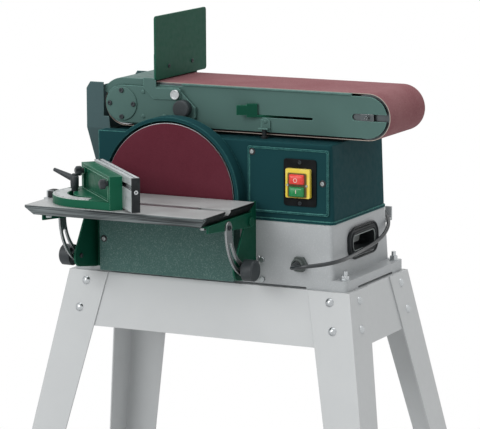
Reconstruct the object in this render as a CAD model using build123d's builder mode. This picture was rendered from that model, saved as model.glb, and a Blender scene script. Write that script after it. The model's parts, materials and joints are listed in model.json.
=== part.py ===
from build123d import *
from math import ceil, cos, pi, radians, sin, sqrt, tan
import os

# A belt and disc sander on a splayed sheet stand. +X runs to the right along the belt, -Y is the front and
# +Z is up. The origin is on the floor under the middle of the stand. All sizes are in millimetres.

# Fits
touch_gap = 0.3  # curved or sliding faces of pieces that move past each other
running_fit = 0.05  # radial, shaft in its bore
seat_fit = 0.02  # radial, pressed or clamped piece in its seat
hole_clearance = 0.25  # radial, bolt in a plain hole

# Stand
stand_height = 600.0
stand_length = 560.0  # over the legs at the top
stand_depth = 254.0
stand_sheet = 2.5
leg_lean_ratio_x = 0.18  # outward for each millimetre of drop
leg_lean_ratio_y = 0.19
leg_flange_top = 80.0
leg_flange_foot = 58.0
rail_height = 98.0
rail_lip = 34.0
rail_gap = 1.5
foot_pad_height = 8.0
foot_pad_size = 62.0
foot_hole_r = 4.5
foot_hole_inset = 30.0
leg_bolt_r = 4.0
leg_bolt_head_r = 8.0
leg_bolt_head = 4.5
leg_bolt_drop = 18.0
leg_bolt_pitch = 49.0
nut_flats = 13.0
nut_height = 6.5

# Base casting
base_setback = 5.0  # base front behind the stand's front edge
base_ledge = 25.5  # end flange past the body
base_inset = 7.0  # end flange inside the stand's end
base_height = 115.7
base_wall = 6.0
base_corner_r = 8.0
base_end_draft = 4.0
base_rear_draft = 8.5
base_rear_ledge = 2.5
base_flange = 19.2
base_relief = 4.0
base_pad_length = 78.0
base_pad_width = 48.0
base_pad_thickness = 10.0
base_bolt_end = 11.0
base_bolt_side = 17.0
base_stud_above = 16.0
base_washer_r = 9.0
base_washer = 1.6
handle_length = 125.0
handle_height = 46.0
handle_corner = 15.0
handle_rim = 4.0
handle_mouth_length = 92.0
handle_mouth_height = 26.0
handle_depth = 25.0
handle_wall = 2.5
handle_y = 3.0
handle_rise = 72.0
gland_x = 183.5
gland_rise = 44.4
gland_flats = 26.0
gland_length = 15.0
gland_thread_r = 8.0
hook_inset = 12.5  # hook's middle from the base's end
hook_width = 12.0
hook_rise = 85.0
hook_arm = 5.5
hook_reach = 30.0
hook_tip = 4.0
hook_tip_height = 25.0

# Housing
housing_setback = 8.0  # housing front behind the base front
housing_left_inset = 42.5
housing_right_inset = 4.5
housing_height = 140.3
housing_wall = 2.5
housing_corner_r = 8.0
housing_draft = 5.0
housing_bead = 2.0
housing_bead_height = 5.0
housing_edge_r = 2.0
shaft_hole_r = 13.0
panel_left_inset = 7.4  # switch panel from the disc housing's rim
panel_right_inset = 7.5
panel_bottom = 15.3
panel_top_inset = 9.0
panel_thickness = 4.0
panel_border = 3.0
panel_recess = 1.5
panel_screw_left = 7.8  # screws from the panel's edges
panel_screw_drop = 10.1
panel_screw_right = 11.6
panel_screw_low = 58.7
cover_screw_rise = 65.0  # lower cover's screw above the deck
switch_plate_width = 62.5
switch_plate_height = 83.0
switch_plate_sheet = 2.5
switch_plate_right = 23.0
switch_plate_rise = 15.0
switch_width = 46.5
switch_height = 51.3
switch_depth = 7.5
switch_rise = 15.5
switch_left = 7.0
button_width = 29.0
button_height = 17.5
button_gap = 4.0
button_drop = 3.5  # below the switch's middle
button_proud = 5.5
button_depth = 9.0
button_left = 7.6

# Disc
disc_left_offset = 139.0  # disc axis from the housing's left wall
disc_rise = 38.2  # disc axis above the base top
disc_r = 127.0
disc_thickness = 10.4
disc_standoff = 14.0
disc_hub_r = 24.0
disc_hub = 10.0
abrasive_thickness = 1.6
abrasive_inset = 1.0
rim_inner_r = 131.0
rim_wall = 7.0
rim_proud = 2.0
side_panel_left = 2.0
side_panel_rise = 5.0
disc_sheet = 2.5
cover_sheet = 2.0
cover_gap = 5.0  # lower cover in front of the disc
cover_side_gap = 10.0
cover_bottom = 7.0
cover_top = 12.3  # above the base top
cover_wall_drop = 0.7

# Motor and drive
motor_r = 62.0
motor_length = 174.0
motor_bore_r = 37.0
motor_wall = 6.0
motor_clearance = 10.0
motor_foot = 8.0
motor_foot_reach = 80.0
motor_foot_length = 90.0
motor_opening = 112.0
motor_opening_margin = 5.0
motor_shaft_r = 8.0
rotor_gap = 1.0
rotor_end_gap = 14.0
motor_pulley_r = 30.0
drum_pulley_r = 20.0
pulley_width = 16.0
pulley_flange = 2.5
pulley_flange_height = 3.0
pulley_offset = 6.0  # pulleys behind the housing
pulley_shaft_end = 1.0
drive_belt_thickness = 3.5
drive_belt_margin = 0.5
drive_cover_depth = 30.0
drive_cover_wall = 2.5
drive_cover_low_r = 37.5
drive_cover_high_r = 34.0

# Belt arm
belt_length = 1219.0
belt_width = 152.4
belt_thickness = 1.2
drum_r = 40.0
drum_left_offset = 15.0  # drum axis from the housing's left wall
drum_rise = 47.0  # drum axis above the housing top
arm_setback = 37.0  # arm's front face behind the housing's front
arm_sheet = 2.5
arm_side_gap = 2.5
arm_half_height = 36.5
drum_end_gap = 2.0
drum_shaft_r = 8.5
bearing_r = 20.0
bearing_width = 12.0
trunnion_r = 28.0
trunnion_end = 2.0
arm_bracket_thickness = 17.0
arm_bracket_gap = 7.6
arm_bracket_r = 42.0
arm_bracket_foot = 84.0
arm_bracket_foot_height = 6.0
platen_left_gap = 10.0
platen_right_gap = 16.0
platen_thickness = 4.0
platen_flange = 18.0
end_plate_thickness = 7.0
end_plate_r = 33.5
end_plate_length = 148.0
end_plate_slant = 35.0
drum_cover_r = 30.6
drum_cover_thickness = 2.5
drum_cover_screw_r = 24.0
arm_lip = 4.0
arm_lip_rise = 4.5  # above the plate's straight edge
arm_lip_start = 120.0
arm_lip_end = 30.0
lever_pivot_x = 324.0  # from the drum axis
lever_pivot_inset = 22.5
lever_drop = 8.5
lever_bar = 4.0
lever_bar_width = 5.0
lever_hub_r = 8.0
lever_pin_r = 4.0
lever_rest_angle = 206.6
lever_swing = 125.0
lever_reach = 98.0
lever_tab_start = 61.0
lever_tab_end = 80.0
lever_tab_height = 24.0
lever_block_height = 17.0
lever_tab_width = 5.0
lever_slot_margin = 1.2
idler_slot_height = 12.6
idler_slot_margin = 0.7
idler_travel = 10.0
idler_shaft_r = 8.0
idler_block = 24.0
idler_block_proud = 0.5
idler_screw_r = 3.5
yoke_strap = 2.5
yoke_height = 16.0
yoke_reach = 70.0
yoke_bar = 8.0
yoke_gap = 0.9
spring_r = 9.0
spring_wire_r = 1.25
spring_turns = 8
spring_length = 72.0
spring_seat = 10.0
tracking_knob_r = 16.0
tracking_knob_length = 14.0
tracking_knob_gap = 2.0
tracking_knob_x = 126.3
tracking_knob_drop = 2.3
tracking_stud_r = 4.0
guard_gap = 3.2
guard_sheet = 1.5
guard_flange = 2.0
guard_flange_depth = 12.2
guard_end_angle = 152.0
guard_length = 63.0
rest_tab_x = 285.0
rest_tab_width = 18.0
rest_rise = 5.8  # lip above the arm's lower edge
rest_tab_height = 16.0
rest_lip = 12.0
rest_post_r = 4.0
stop_x = 70.0  # work stop from the drum axis
stop_sheet = 3.0
stop_left = 7.5
stop_right = 20.4
stop_gap = 4.5
stop_height = 114.6
stop_corner = 6.0
stop_screw_rise = 21.0
stop_screw_spread = 45.0
stop_wing_height = 46.0
stop_wing_depth = 150.0
stop_tab = 22.0
stop_foot_length = 50.0
stop_foot_corner = 4.0
stop_foot_height = 20.0
stop_foot_drop = 12.0
stop_bolt_r = 9.0
stop_bolt_head = 6.0
stop_bolt_x = 111.0
stop_bolt_rise = 22.0
rivet_r = 4.0
rivet_head = 1.6
rivet_near = 43.0  # rivets from the drum axis
rivet_far = 86.0
rivet_upper = 23.0
rivet_lower = 21.0
rivet_step = 2.0
screw_head_r = 4.5
screw_head = 2.5
screw_r = 2.0

# Dust hood
hood_sheet = 2.0
hood_left = 72.0  # from the drum axis
hood_cheek = 37.0  # cheek edge from the drum axis
hood_step = 26.5
hood_step_drop = 24.5
hood_rise = 37.0
hood_wall_rise = 24.0
hood_chamfer_x = 8.0
hood_chamfer_z = 12.0
hood_side_gap = 4.1  # cheek outside the arm's rear plate
hood_front_gap = 1.0  # cheek outside the end plate
hood_throat = 48.0
hood_funnel_height = 74.0
hood_box_half_depth = 52.0
hood_box_left = 13.0
spigot_r = 25.0
spigot_length = 43.0
spigot_rise = 34.7

# Table
table_length = 351.0
table_depth = 193.5
table_thickness = 18.0
table_gap = 4.5
table_drop = 1.6  # table top below the disc axis
table_offset = 4.5  # table centre left of the disc axis
table_edge = 4.0
table_bevel = 11.0
table_pocket_wall = 34.0
table_pocket_border = 14.0
table_skin = 7.0
slot_width = 19.2
slot_depth = 10.0
slot_back = 101.5
hinge_back = 7.5
hinge_drop = 34.3
hinge_pin_r = 5.0
hinge_head_r = 8.0
hinge_head = 3.5
hinge_lobe_r = 10.0
arm_sheet_table = 3.0
table_support_shift = 7.2  # arms, quadrants and brackets right of the table's middle
table_arm_inset = 11.8
table_arm_length = 166.0
table_arm_front = 12.0
table_arm_flange = 20.0
table_arm_rear_gap = 1.5
quadrant_r = 87.0
quadrant_width = 22.0
quadrant_slot = 9.2
quadrant_top_angle = -2.0
quadrant_lock_angle = 65.0
quadrant_end_margin = 2.0
quadrant_gap = 0.8  # beside and under it in the base's slots
table_tilt = 45.0
bracket_sheet = 3.0
bracket_foot_r = 20.0
bracket_strip = 20.0
bracket_strip_drop = 2.0
bracket_flange = 16.0
bracket_flange_bottom = 10.0
bracket_flange_top = 5.0
knob_r = 19.0
knob_length = 26.5
knob_neck_r = 11.0
knob_neck = 5.0
knob_stud_r = 4.0
knob_stud_end = 3.0

# Mitre gauge
mitre_angle = 45.0
mitre_pivot_x = 75.5  # left of the table's centre
mitre_lift = 0.5
mitre_bar_length = 303.0
mitre_bar_ahead = 193.0
mitre_bar_height = 9.5
mitre_pin_r = 5.0
mitre_head_r = 84.0
mitre_head_thickness = 14.0
mitre_slot_r = 52.0
mitre_slot_width = 9.0
mitre_swing_back = 95.0
mitre_swing_on = 5.0
mitre_slot_margin = 6.0
mitre_face = 8.7
upright_thickness = 23.0
upright_front = 110.0
upright_back = 72.0
upright_height = 59.0
upright_border = 11.0
upright_pocket = 6.0
index_block_length = 14.0
index_block_rise = 13.0
index_block_inset = 6.0
lever_post_r = 4.0
mitre_hub_r = 7.5
mitre_hub_top = 45.0
mitre_handle_r = 3.6
mitre_handle_length = 40.0
mitre_handle_start = 36.0
mitre_handle_end = 50.0
fence_thickness = 14.5
fence_front = 165.0
fence_back = 64.0
fence_height = 63.5
fence_lift = 4.0  # clear of the table
fence_slot_rise = 46.0
fence_slot_mouth = 9.0
fence_slot_neck = 3.0
fence_slot_width = 14.0
fence_slot_depth = 8.0
fence_groove_width = 5.0
fence_groove_depth = 3.0
fence_cap = 4.0
fence_knob_front = 100.0
fence_knob_back = 58.0
fence_knob_length = 15.3
fence_knob_lobe = 4.0
fence_knob_pitch = 5.0
fence_stud_r = 3.0

# Mains lead
cord_r = 3.5
cord_floor = 3.6  # lead's centre above the floor
coil_r = 43.0
coil_pitch = 7.6
coil_turns = 1.5  # in each layer
coil_layer = 7.5
coil_tail = 30.0
coil_steps = 4  # pairs of arcs in each turn
plug_length = 48.0
plug_width = 46.0
plug_thickness = 22.0
plug_relief = 16.0
plug_relief_r = 6.0
plug_pin_length = 20.0
plug_pin_spread = 22.0
plug_pin_thickness = 4.0
plug_live_width = 6.3
plug_earth_width = 4.0

# Heights
deck = stand_height
base_top = deck + base_height
housing_top = base_top + housing_height
disc_z = base_top + disc_rise
drum_z = housing_top + drum_rise
table_top = disc_z - table_drop
table_under = table_top - table_thickness
hinge_z = table_top - hinge_drop

# Fronts and backs, from the base front towards the rear
base_front = base_setback - stand_depth / 2
housing_front = base_front + housing_setback
arm_front = housing_front + arm_setback
arm_front_inner = arm_front + arm_sheet
belt_front = arm_front_inner + arm_side_gap
belt_rear = belt_front + belt_width
arm_rear_inner = belt_rear + arm_side_gap
arm_rear = arm_rear_inner + arm_sheet
belt_y = (belt_front + belt_rear) / 2
bracket_front = arm_rear + arm_bracket_gap
housing_rear = bracket_front + arm_bracket_thickness
end_plate_front = arm_front - end_plate_thickness
drum_cover_front = end_plate_front - drum_cover_thickness
drum_front = belt_front + drum_end_gap
drum_rear = belt_rear - drum_end_gap
disc_back = housing_front - disc_standoff
abrasive_back = disc_back - disc_thickness
disc_face = abrasive_back - abrasive_thickness
rim_front = disc_face - rim_proud
table_rear = disc_face - table_gap
table_front = table_rear - table_depth
hinge_y = table_rear - hinge_back
slot_y = table_rear - slot_back

# Places along X
flange_end = stand_length / 2 - base_inset
base_end = flange_end - base_ledge
hook_x = base_end - hook_inset
housing_left = housing_left_inset - base_end
housing_right = base_end - housing_right_inset
disc_x = housing_left + disc_left_offset
drum_x = housing_left + drum_left_offset
rim_outer_r = rim_inner_r + rim_wall
belt_inner_r = drum_r + touch_gap
belt_outer_r = belt_inner_r + belt_thickness
drum_distance = (belt_length - 2 * pi * (belt_inner_r + belt_thickness / 2)) / 2
idler_x = drum_x + drum_distance
table_x = disc_x - table_offset
support_x = table_x + table_support_shift
arm_outer = table_length / 2 - table_arm_inset
arm_inner = arm_outer - arm_sheet_table


def level(z):
    """Horizontal plane at a height."""
    return Plane.XY.offset(z)


def facing_front(y):
    """Upright plane across the machine: local x is X, local y is Z, and its normal points to the front."""
    return Plane.XZ.offset(-y)


def facing_right(x):
    """Upright plane along the depth: local x is Y, local y is Z, and its normal points to the right."""
    return Plane.YZ.offset(x)


def span(side, inner, outer):
    """Limits of a stretch on one side of zero, given by its distances from zero."""
    return (inner, outer) if side > 0 else (-outer, -inner)


def block(x, y, z, mode=Mode.ADD, plane=Plane.XY):
    """Box between the limits along each axis of a plane."""
    middle = Location(((x[0] + x[1]) / 2, (y[0] + y[1]) / 2, (z[0] + z[1]) / 2))
    with Locations(plane.location * middle):
        Box(x[1] - x[0], y[1] - y[0], z[1] - z[0], mode=mode)


def rod(start, end, radius, mode=Mode.ADD, plane=Plane.XY):
    """Cylinder between two points of a plane's own frame."""
    first = plane.from_local_coords(Vector(*start))
    last = plane.from_local_coords(Vector(*end))
    with Locations(Plane(origin=(first + last) / 2, z_dir=last - first)):
        Cylinder(radius, (last - first).length, mode=mode)


def rounded(x, y, radius, mode=Mode.ADD):
    """Round-cornered rectangle between limits, in the sketch being drawn."""
    with Locations(((x[0] + x[1]) / 2, (y[0] + y[1]) / 2)):
        RectangleRounded(x[1] - x[0], y[1] - y[0], radius, mode=mode)


def biarc(start, leaving, end, arriving):
    """Two tangent arcs between points with given directions, in the line being drawn."""
    gap = end - start
    slope = 2 * leaving.dot(arriving) - 2
    reach = gap.dot(leaving + arriving)
    step = (reach - sqrt(reach**2 - slope * gap.dot(gap))) / slope
    near = start + leaving * step
    far = end - arriving * step
    joint = (near + far) / 2
    TangentArc(start, joint, tangent=leaving)
    TangentArc(joint, end, tangent=far - near)


def least_self_gap(path, radius, count, apart):
    """Least clear gap between stretches of a tube that lie further apart along it than a given length."""
    places = [path @ (number / count) for number in range(count + 1)]
    skip = ceil(apart / (path.length / count))
    pairs = ((a, b) for a in range(count + 1) for b in range(a + skip, count + 1))
    return min((places[a] - places[b]).length for a, b in pairs) - 2 * radius


# Stand legs: four L-section sheets that splay both ways, with a turned-in foot plate
corners = [(side_x, side_y) for side_x in (-1, 1) for side_y in (-1, 1)]
leg_drop = stand_height - foot_pad_height


def leg_x(drop):
    """Distance of a leg's outer corner from the middle, along X, at a drop below the stand's top."""
    return stand_length / 2 + leg_lean_ratio_x * drop


def leg_y(drop):
    """Distance of a leg's outer corner from the middle, along Y, at a drop below the stand's top."""
    return stand_depth / 2 + leg_lean_ratio_y * drop


def leg_flange(drop):
    """Width of a leg's flanges at a drop below the stand's top."""
    return leg_flange_top + (leg_flange_foot - leg_flange_top) * drop / leg_drop


leg_bolt_planes = []
for side_x, side_y in corners:
    for drop in (leg_bolt_drop, leg_bolt_drop + leg_bolt_pitch):
        middle_x = leg_x(drop) - leg_flange(drop) / 2
        middle_y = leg_y(drop) - leg_flange(drop) / 2
        on_face = Vector(side_x * middle_x, side_y * leg_y(drop), deck - drop)
        on_end = Vector(side_x * leg_x(drop), side_y * middle_y, deck - drop)
        leg_bolt_planes.append(Plane(origin=on_face, z_dir=(0, side_y, leg_lean_ratio_y)))
        leg_bolt_planes.append(Plane(origin=on_end, z_dir=(side_x, 0, leg_lean_ratio_x)))

with BuildPart() as stand_legs:
    for side_x, side_y in corners:
        for drop in (0, leg_drop):
            out_x = leg_x(drop)
            out_y = leg_y(drop)
            flange = leg_flange(drop)
            with BuildSketch(level(deck - drop)):
                with BuildLine():
                    Polyline(
                        (side_x * out_x, side_y * out_y),
                        (side_x * (out_x - flange), side_y * out_y),
                        (side_x * (out_x - flange), side_y * (out_y - stand_sheet)),
                        (side_x * (out_x - stand_sheet), side_y * (out_y - stand_sheet)),
                        (side_x * (out_x - stand_sheet), side_y * (out_y - flange)),
                        (side_x * out_x, side_y * (out_y - flange)),
                        close=True,
                    )
                make_face()
        loft(ruled=True)
        foot_x = span(side_x, leg_x(leg_drop) - leg_flange_foot, leg_x(leg_drop) - stand_sheet / 2)
        foot_y = span(side_y, leg_y(leg_drop) - leg_flange_foot, leg_y(leg_drop) - stand_sheet / 2)
        block(foot_x, foot_y, (foot_pad_height, foot_pad_height + stand_sheet))
        hole_x = side_x * (leg_x(leg_drop) - foot_hole_inset)
        hole_y = side_y * (leg_y(leg_drop) - foot_hole_inset)
        rod((hole_x, hole_y, 0), (hole_x, hole_y, 4 * foot_pad_height), foot_hole_r, Mode.SUBTRACT)
    with Locations(*leg_bolt_planes):
        Cylinder(leg_bolt_r + hole_clearance, 8 * stand_sheet, mode=Mode.SUBTRACT)

# Stand rails: two long and two short sheet webs inside the legs, each with a lip turned in at the top
base_bolt_x = flange_end - base_bolt_end
base_bolt_y = -base_front - base_bolt_side
long_rail_half = stand_length / 2 - 2 * stand_sheet - rail_gap
end_rail_half = stand_depth / 2 - 2 * stand_sheet - rail_gap
end_lip_half = stand_depth / 2 - stand_sheet - rail_lip - rail_gap

with BuildPart() as stand_rails:
    for side in (-1, 1):
        with BuildSketch(Plane.YZ):
            with BuildLine():
                Polyline(
                    (side * (leg_y(0) - stand_sheet), deck),
                    (side * (leg_y(rail_height) - stand_sheet), deck - rail_height),
                    (side * (leg_y(rail_height) - 2 * stand_sheet), deck - rail_height),
                    (side * (leg_y(stand_sheet) - 2 * stand_sheet), deck - stand_sheet),
                    (side * (leg_y(0) - stand_sheet - rail_lip), deck - stand_sheet),
                    (side * (leg_y(0) - stand_sheet - rail_lip), deck),
                    close=True,
                )
            make_face()
        extrude(amount=long_rail_half, both=True)
        with BuildSketch(Plane.XZ):
            with BuildLine():
                Polyline(
                    (side * (leg_x(0) - stand_sheet), deck),
                    (side * (leg_x(rail_height) - stand_sheet), deck - rail_height),
                    (side * (leg_x(rail_height) - 2 * stand_sheet), deck - rail_height),
                    (side * (leg_x(0) - 2 * stand_sheet), deck),
                    close=True,
                )
            make_face()
        extrude(amount=end_rail_half, both=True)
        lip_x = span(side, leg_x(0) - stand_sheet - rail_lip, leg_x(0) - 1.5 * stand_sheet)
        block(lip_x, (-end_lip_half, end_lip_half), (deck - stand_sheet, deck))
    with Locations(*leg_bolt_planes):
        Cylinder(leg_bolt_r + hole_clearance, 8 * stand_sheet, mode=Mode.SUBTRACT)
    with Locations(level(deck)):
        with GridLocations(2 * base_bolt_x, 2 * base_bolt_y, 2, 2):
            Cylinder(leg_bolt_r + hole_clearance, 4 * stand_sheet, mode=Mode.SUBTRACT)

# Dome-headed bolt through leg and rail, with its nut, on the plane of the leg's outer face
with BuildPart() as leg_bolt:
    with BuildSketch(Plane.XZ):
        with BuildLine():
            TangentArc((0, leg_bolt_head), (leg_bolt_head_r, 0), tangent=(1, 0))
            Polyline(
                (leg_bolt_head_r, 0),
                (leg_bolt_r, 0),
                (leg_bolt_r, -3 * stand_sheet - nut_height),
                (0, -3 * stand_sheet - nut_height),
                (0, leg_bolt_head),
            )
        make_face()
    revolve(axis=Axis.Z)
    with BuildSketch(level(-2 * stand_sheet)):
        RegularPolygon(nut_flats / 2, 6, major_radius=False)
        Circle(leg_bolt_r + seat_fit, mode=Mode.SUBTRACT)
    extrude(amount=-nut_height)

# Stud that holds the base down, with a washer and nuts, from the top of the base flange
base_grip = base_flange + stand_sheet
with BuildPart() as base_bolt:
    rod((0, 0, -base_grip - nut_height - stand_sheet), (0, 0, base_stud_above), leg_bolt_r)
    with BuildSketch():
        Circle(base_washer_r)
        Circle(leg_bolt_r + seat_fit, mode=Mode.SUBTRACT)
    extrude(amount=base_washer)
    for bottom in (base_washer, -base_grip - nut_height):
        with BuildSketch(level(bottom)):
            RegularPolygon(nut_flats / 2, 6, major_radius=False)
            Circle(leg_bolt_r + seat_fit, mode=Mode.SUBTRACT)
        extrude(amount=nut_height)

with BuildPart() as stand_bolts:
    with Locations(*leg_bolt_planes):
        add(leg_bolt.part)
    with Locations(level(deck + base_flange)):
        with GridLocations(2 * base_bolt_x, 2 * base_bolt_y, 2, 2):
            add(base_bolt.part)

# Rubber pads under the foot plates
with BuildPart() as rubber_feet:
    pad_x = leg_x(leg_drop) - leg_flange_foot / 2
    pad_y = leg_y(leg_drop) - leg_flange_foot / 2
    with BuildSketch():
        with GridLocations(2 * pad_x, 2 * pad_y, 2, 2):
            RectangleRounded(foot_pad_size, foot_pad_size, foot_pad_height)
        with GridLocations(
            2 * (leg_x(leg_drop) - foot_hole_inset), 2 * (leg_y(leg_drop) - foot_hole_inset), 2, 2
        ):
            Circle(foot_hole_r, mode=Mode.SUBTRACT)
    extrude(amount=foot_pad_height)

# Base casting: a drafted box open below, on four corner pads, with a flange at each end
base_rear = housing_rear + base_rear_ledge + base_rear_draft


def base_end_at(rise):
    """Half length of the base at a height above the stand."""
    return base_end - base_end_draft * rise / base_height


def base_rear_at(rise):
    """Rear face of the base at a height above the stand."""
    return base_rear - base_rear_draft * rise / base_height


def end_face(side):
    """Plane on a drafted end of the base, at the middle of its handle, facing outward."""
    origin = (side * base_end_at(handle_rise), handle_y, deck + handle_rise)
    return Plane(origin=origin, x_dir=(0, 1, 0), z_dir=(side * base_height, 0, base_end_draft))


motor_front = housing_front + motor_clearance
motor_rear = motor_front + motor_length

with BuildPart() as base_casting:
    for rise in (base_relief, base_height):
        with BuildSketch(level(deck + rise)):
            ends = base_end_at(rise)
            rounded((-ends, ends), (base_front, base_rear_at(rise)), base_corner_r)
    loft(ruled=True)
    for rise in (base_relief, base_height - base_wall):
        with BuildSketch(level(deck + rise)):
            ends = base_end_at(rise) - base_wall
            inner_y = (base_front + base_wall, base_rear_at(rise) - base_wall)
            rounded((-ends, ends), inner_y, base_corner_r)
    loft(ruled=True, mode=Mode.SUBTRACT)
    with BuildSketch(level(deck + base_relief)):
        rounded((-flange_end, flange_end), (base_front, -base_front), base_corner_r)
        Rectangle(2 * (base_end - base_wall), stand_depth, mode=Mode.SUBTRACT)
    extrude(amount=base_flange - base_relief)
    with BuildSketch(level(deck)):
        pitch_x = 2 * flange_end - base_pad_length
        pitch_y = -2 * base_front - base_pad_width
        with GridLocations(pitch_x, pitch_y, 2, 2):
            Rectangle(base_pad_length, base_pad_width)
        rounded((-flange_end, flange_end), (base_front, -base_front), base_corner_r, Mode.INTERSECT)
    extrude(amount=base_pad_thickness)
    opening_x = (disc_x - motor_opening / 2, disc_x + motor_opening / 2)
    opening_y = (motor_front - motor_opening_margin, motor_rear + motor_opening_margin)
    block(opening_x, opening_y, (base_top - 2 * base_wall, base_top + base_wall), Mode.SUBTRACT)
    cup_length = handle_mouth_length + 2 * (handle_wall + touch_gap)
    cup_height = handle_mouth_height + 2 * (handle_wall + touch_gap)
    for side in (-1, 1):
        block(
            (-cup_length / 2, cup_length / 2),
            (-cup_height / 2, cup_height / 2),
            (-2 * base_wall, base_wall),
            Mode.SUBTRACT,
            end_face(side),
        )
    quadrant_low = hinge_z - quadrant_r - quadrant_width / 2 - quadrant_gap
    for side in (-1, 1):
        slit = span(side, arm_outer - quadrant_gap, arm_outer + arm_sheet_table + quadrant_gap)
        block(
            (support_x + slit[0], support_x + slit[1]),
            (base_front - base_wall, base_front + 2 * base_wall),
            (quadrant_low, quadrant_low + 1.5 * quadrant_width),
            Mode.SUBTRACT,
        )
    gland_z = deck + gland_rise
    rod(
        (gland_x, base_front - base_wall, gland_z),
        (gland_x, base_front + 2 * base_wall, gland_z),
        gland_thread_r + hole_clearance,
        Mode.SUBTRACT,
    )
    hook_side = (hook_x - hook_width / 2, hook_x + hook_width / 2)
    hook_end = base_rear_at(hook_rise) + hook_reach
    hook_z = deck + hook_rise
    block(hook_side, (base_rear_at(hook_rise) - base_wall / 2, hook_end), (hook_z, hook_z + hook_arm))
    block(hook_side, (hook_end - hook_tip, hook_end), (hook_z, hook_z + hook_tip_height))
    with Locations(level(deck)):
        with GridLocations(2 * base_bolt_x, 2 * base_bolt_y, 2, 2):
            Cylinder(leg_bolt_r + hole_clearance, 4 * base_flange, mode=Mode.SUBTRACT)

# Carrying handles: flanged cups let into both ends of the base
with BuildPart() as carry_handles:
    for side in (-1, 1):
        face = end_face(side)
        with BuildSketch(face):
            RectangleRounded(handle_length, handle_height, handle_corner)
        extrude(amount=handle_rim)
        with BuildSketch(face):
            Rectangle(handle_mouth_length + 2 * handle_wall, handle_mouth_height + 2 * handle_wall)
        extrude(amount=-handle_depth - handle_wall)
        with BuildSketch(face.offset(handle_rim)):
            RectangleRounded(handle_mouth_length, handle_mouth_height, handle_corner / 2)
        extrude(amount=-handle_rim - handle_depth, mode=Mode.SUBTRACT)

# Cable gland in the base's front
gland_end = base_front - gland_length
with BuildPart() as cable_gland:
    with BuildSketch(facing_front(base_front)):
        with Locations((gland_x, gland_z)):
            RegularPolygon(gland_flats / 2, 6, major_radius=False)
    extrude(amount=gland_length / 2)
    gland_step = base_front - gland_length / 2
    rod((gland_x, gland_step, gland_z), (gland_x, gland_end, gland_z), gland_thread_r + 1)
    rod((gland_x, base_front, gland_z), (gland_x, base_front + 2 * base_wall, gland_z), gland_thread_r)
    front_edges = cable_gland.faces().sort_by(Axis.Y)[0].edges()
    chamfer(front_edges, gland_thread_r / 4)

# Motor housing: a shell open below, drafted at the right, with a bead round its lower edge
bead_start = disc_x + rim_outer_r + housing_bead
with BuildPart() as motor_housing:
    for height, draft in ((base_top, 0), (housing_top, housing_draft)):
        with BuildSketch(level(height)):
            outer_x = (housing_left, housing_right - draft)
            rounded(outer_x, (housing_front, housing_rear), housing_corner_r)
    loft(ruled=True)
    fillet(motor_housing.faces().sort_by(Axis.Z)[-1].edges(), housing_edge_r)
    with BuildSketch(level(base_top)):
        outer_x = (housing_left - housing_bead, housing_right + housing_bead)
        outer_y = (housing_front - housing_bead, housing_rear + housing_bead)
        rounded(outer_x, outer_y, housing_corner_r + housing_bead)
        rounded((2 * housing_left, bead_start), (2 * housing_front, 2 * housing_rear), 1, Mode.SUBTRACT)
    extrude(amount=housing_bead_height)
    inner_top = housing_top - housing_wall
    for height, draft in ((base_top, 0), (inner_top, housing_draft)):
        with BuildSketch(level(height)):
            inner_x = (housing_left + housing_wall, housing_right - housing_wall - draft)
            inner_y = (housing_front + housing_wall, housing_rear - housing_wall)
            rounded(inner_x, inner_y, housing_corner_r - housing_wall)
    loft(ruled=True, mode=Mode.SUBTRACT)
    rod(
        (disc_x, 2 * housing_front, disc_z), (disc_x, 2 * housing_rear, disc_z), shaft_hole_r, Mode.SUBTRACT
    )
    panel_left = disc_x + rim_outer_r + panel_left_inset
    panel_right = housing_right - panel_right_inset
    panel_low = base_top + panel_bottom
    panel_high = housing_top - panel_top_inset
    panel_screws = [
        (panel_left + panel_screw_left, panel_high - panel_screw_drop),
        (panel_right - panel_screw_right, panel_high - panel_screw_low),
    ]
    for x, z in panel_screws:
        rod(
            (x, housing_front - housing_wall, z),
            (x, housing_front + 2 * housing_wall, z),
            screw_r + seat_fit,
            Mode.SUBTRACT,
        )

# Disc housing: a round rim with a flat panel at its left, open to the front and below
with BuildPart() as disc_housing:
    side_left = housing_left - side_panel_left
    side_top = housing_top + side_panel_rise
    housing_depth = housing_front - rim_front
    with BuildSketch(facing_front(housing_front)):
        with Locations((disc_x, disc_z)):
            Circle(rim_outer_r)
        with Locations(((side_left + disc_x) / 2, (base_top + side_top) / 2)):
            Rectangle(disc_x - side_left, side_top - base_top)
        with Locations((disc_x, base_top - rim_outer_r)):
            Rectangle(3 * rim_outer_r, 2 * rim_outer_r, mode=Mode.SUBTRACT)
    extrude(amount=housing_depth)
    with BuildSketch(facing_front(housing_front)):
        with Locations(((side_left + disc_sheet + disc_x) / 2, (disc_z + side_top - disc_sheet) / 2)):
            Rectangle(disc_x - side_left - disc_sheet, side_top - disc_sheet - disc_z)
        with Locations((disc_x, disc_z)):
            Circle(rim_outer_r, mode=Mode.SUBTRACT)
    extrude(amount=housing_depth - disc_sheet, mode=Mode.SUBTRACT)
    rod(
        (disc_x, housing_front - disc_sheet, disc_z),
        (disc_x, 2 * rim_front, disc_z),
        rim_inner_r,
        Mode.SUBTRACT,
    )
    rod((disc_x, 0, disc_z), (disc_x, 2 * rim_front, disc_z), shaft_hole_r, Mode.SUBTRACT)
    rim_edges = disc_housing.edges().filter_by(GeomType.CIRCLE).group_by(Axis.Y)[0]
    fillet(rim_edges, rim_proud / 2)

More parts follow.
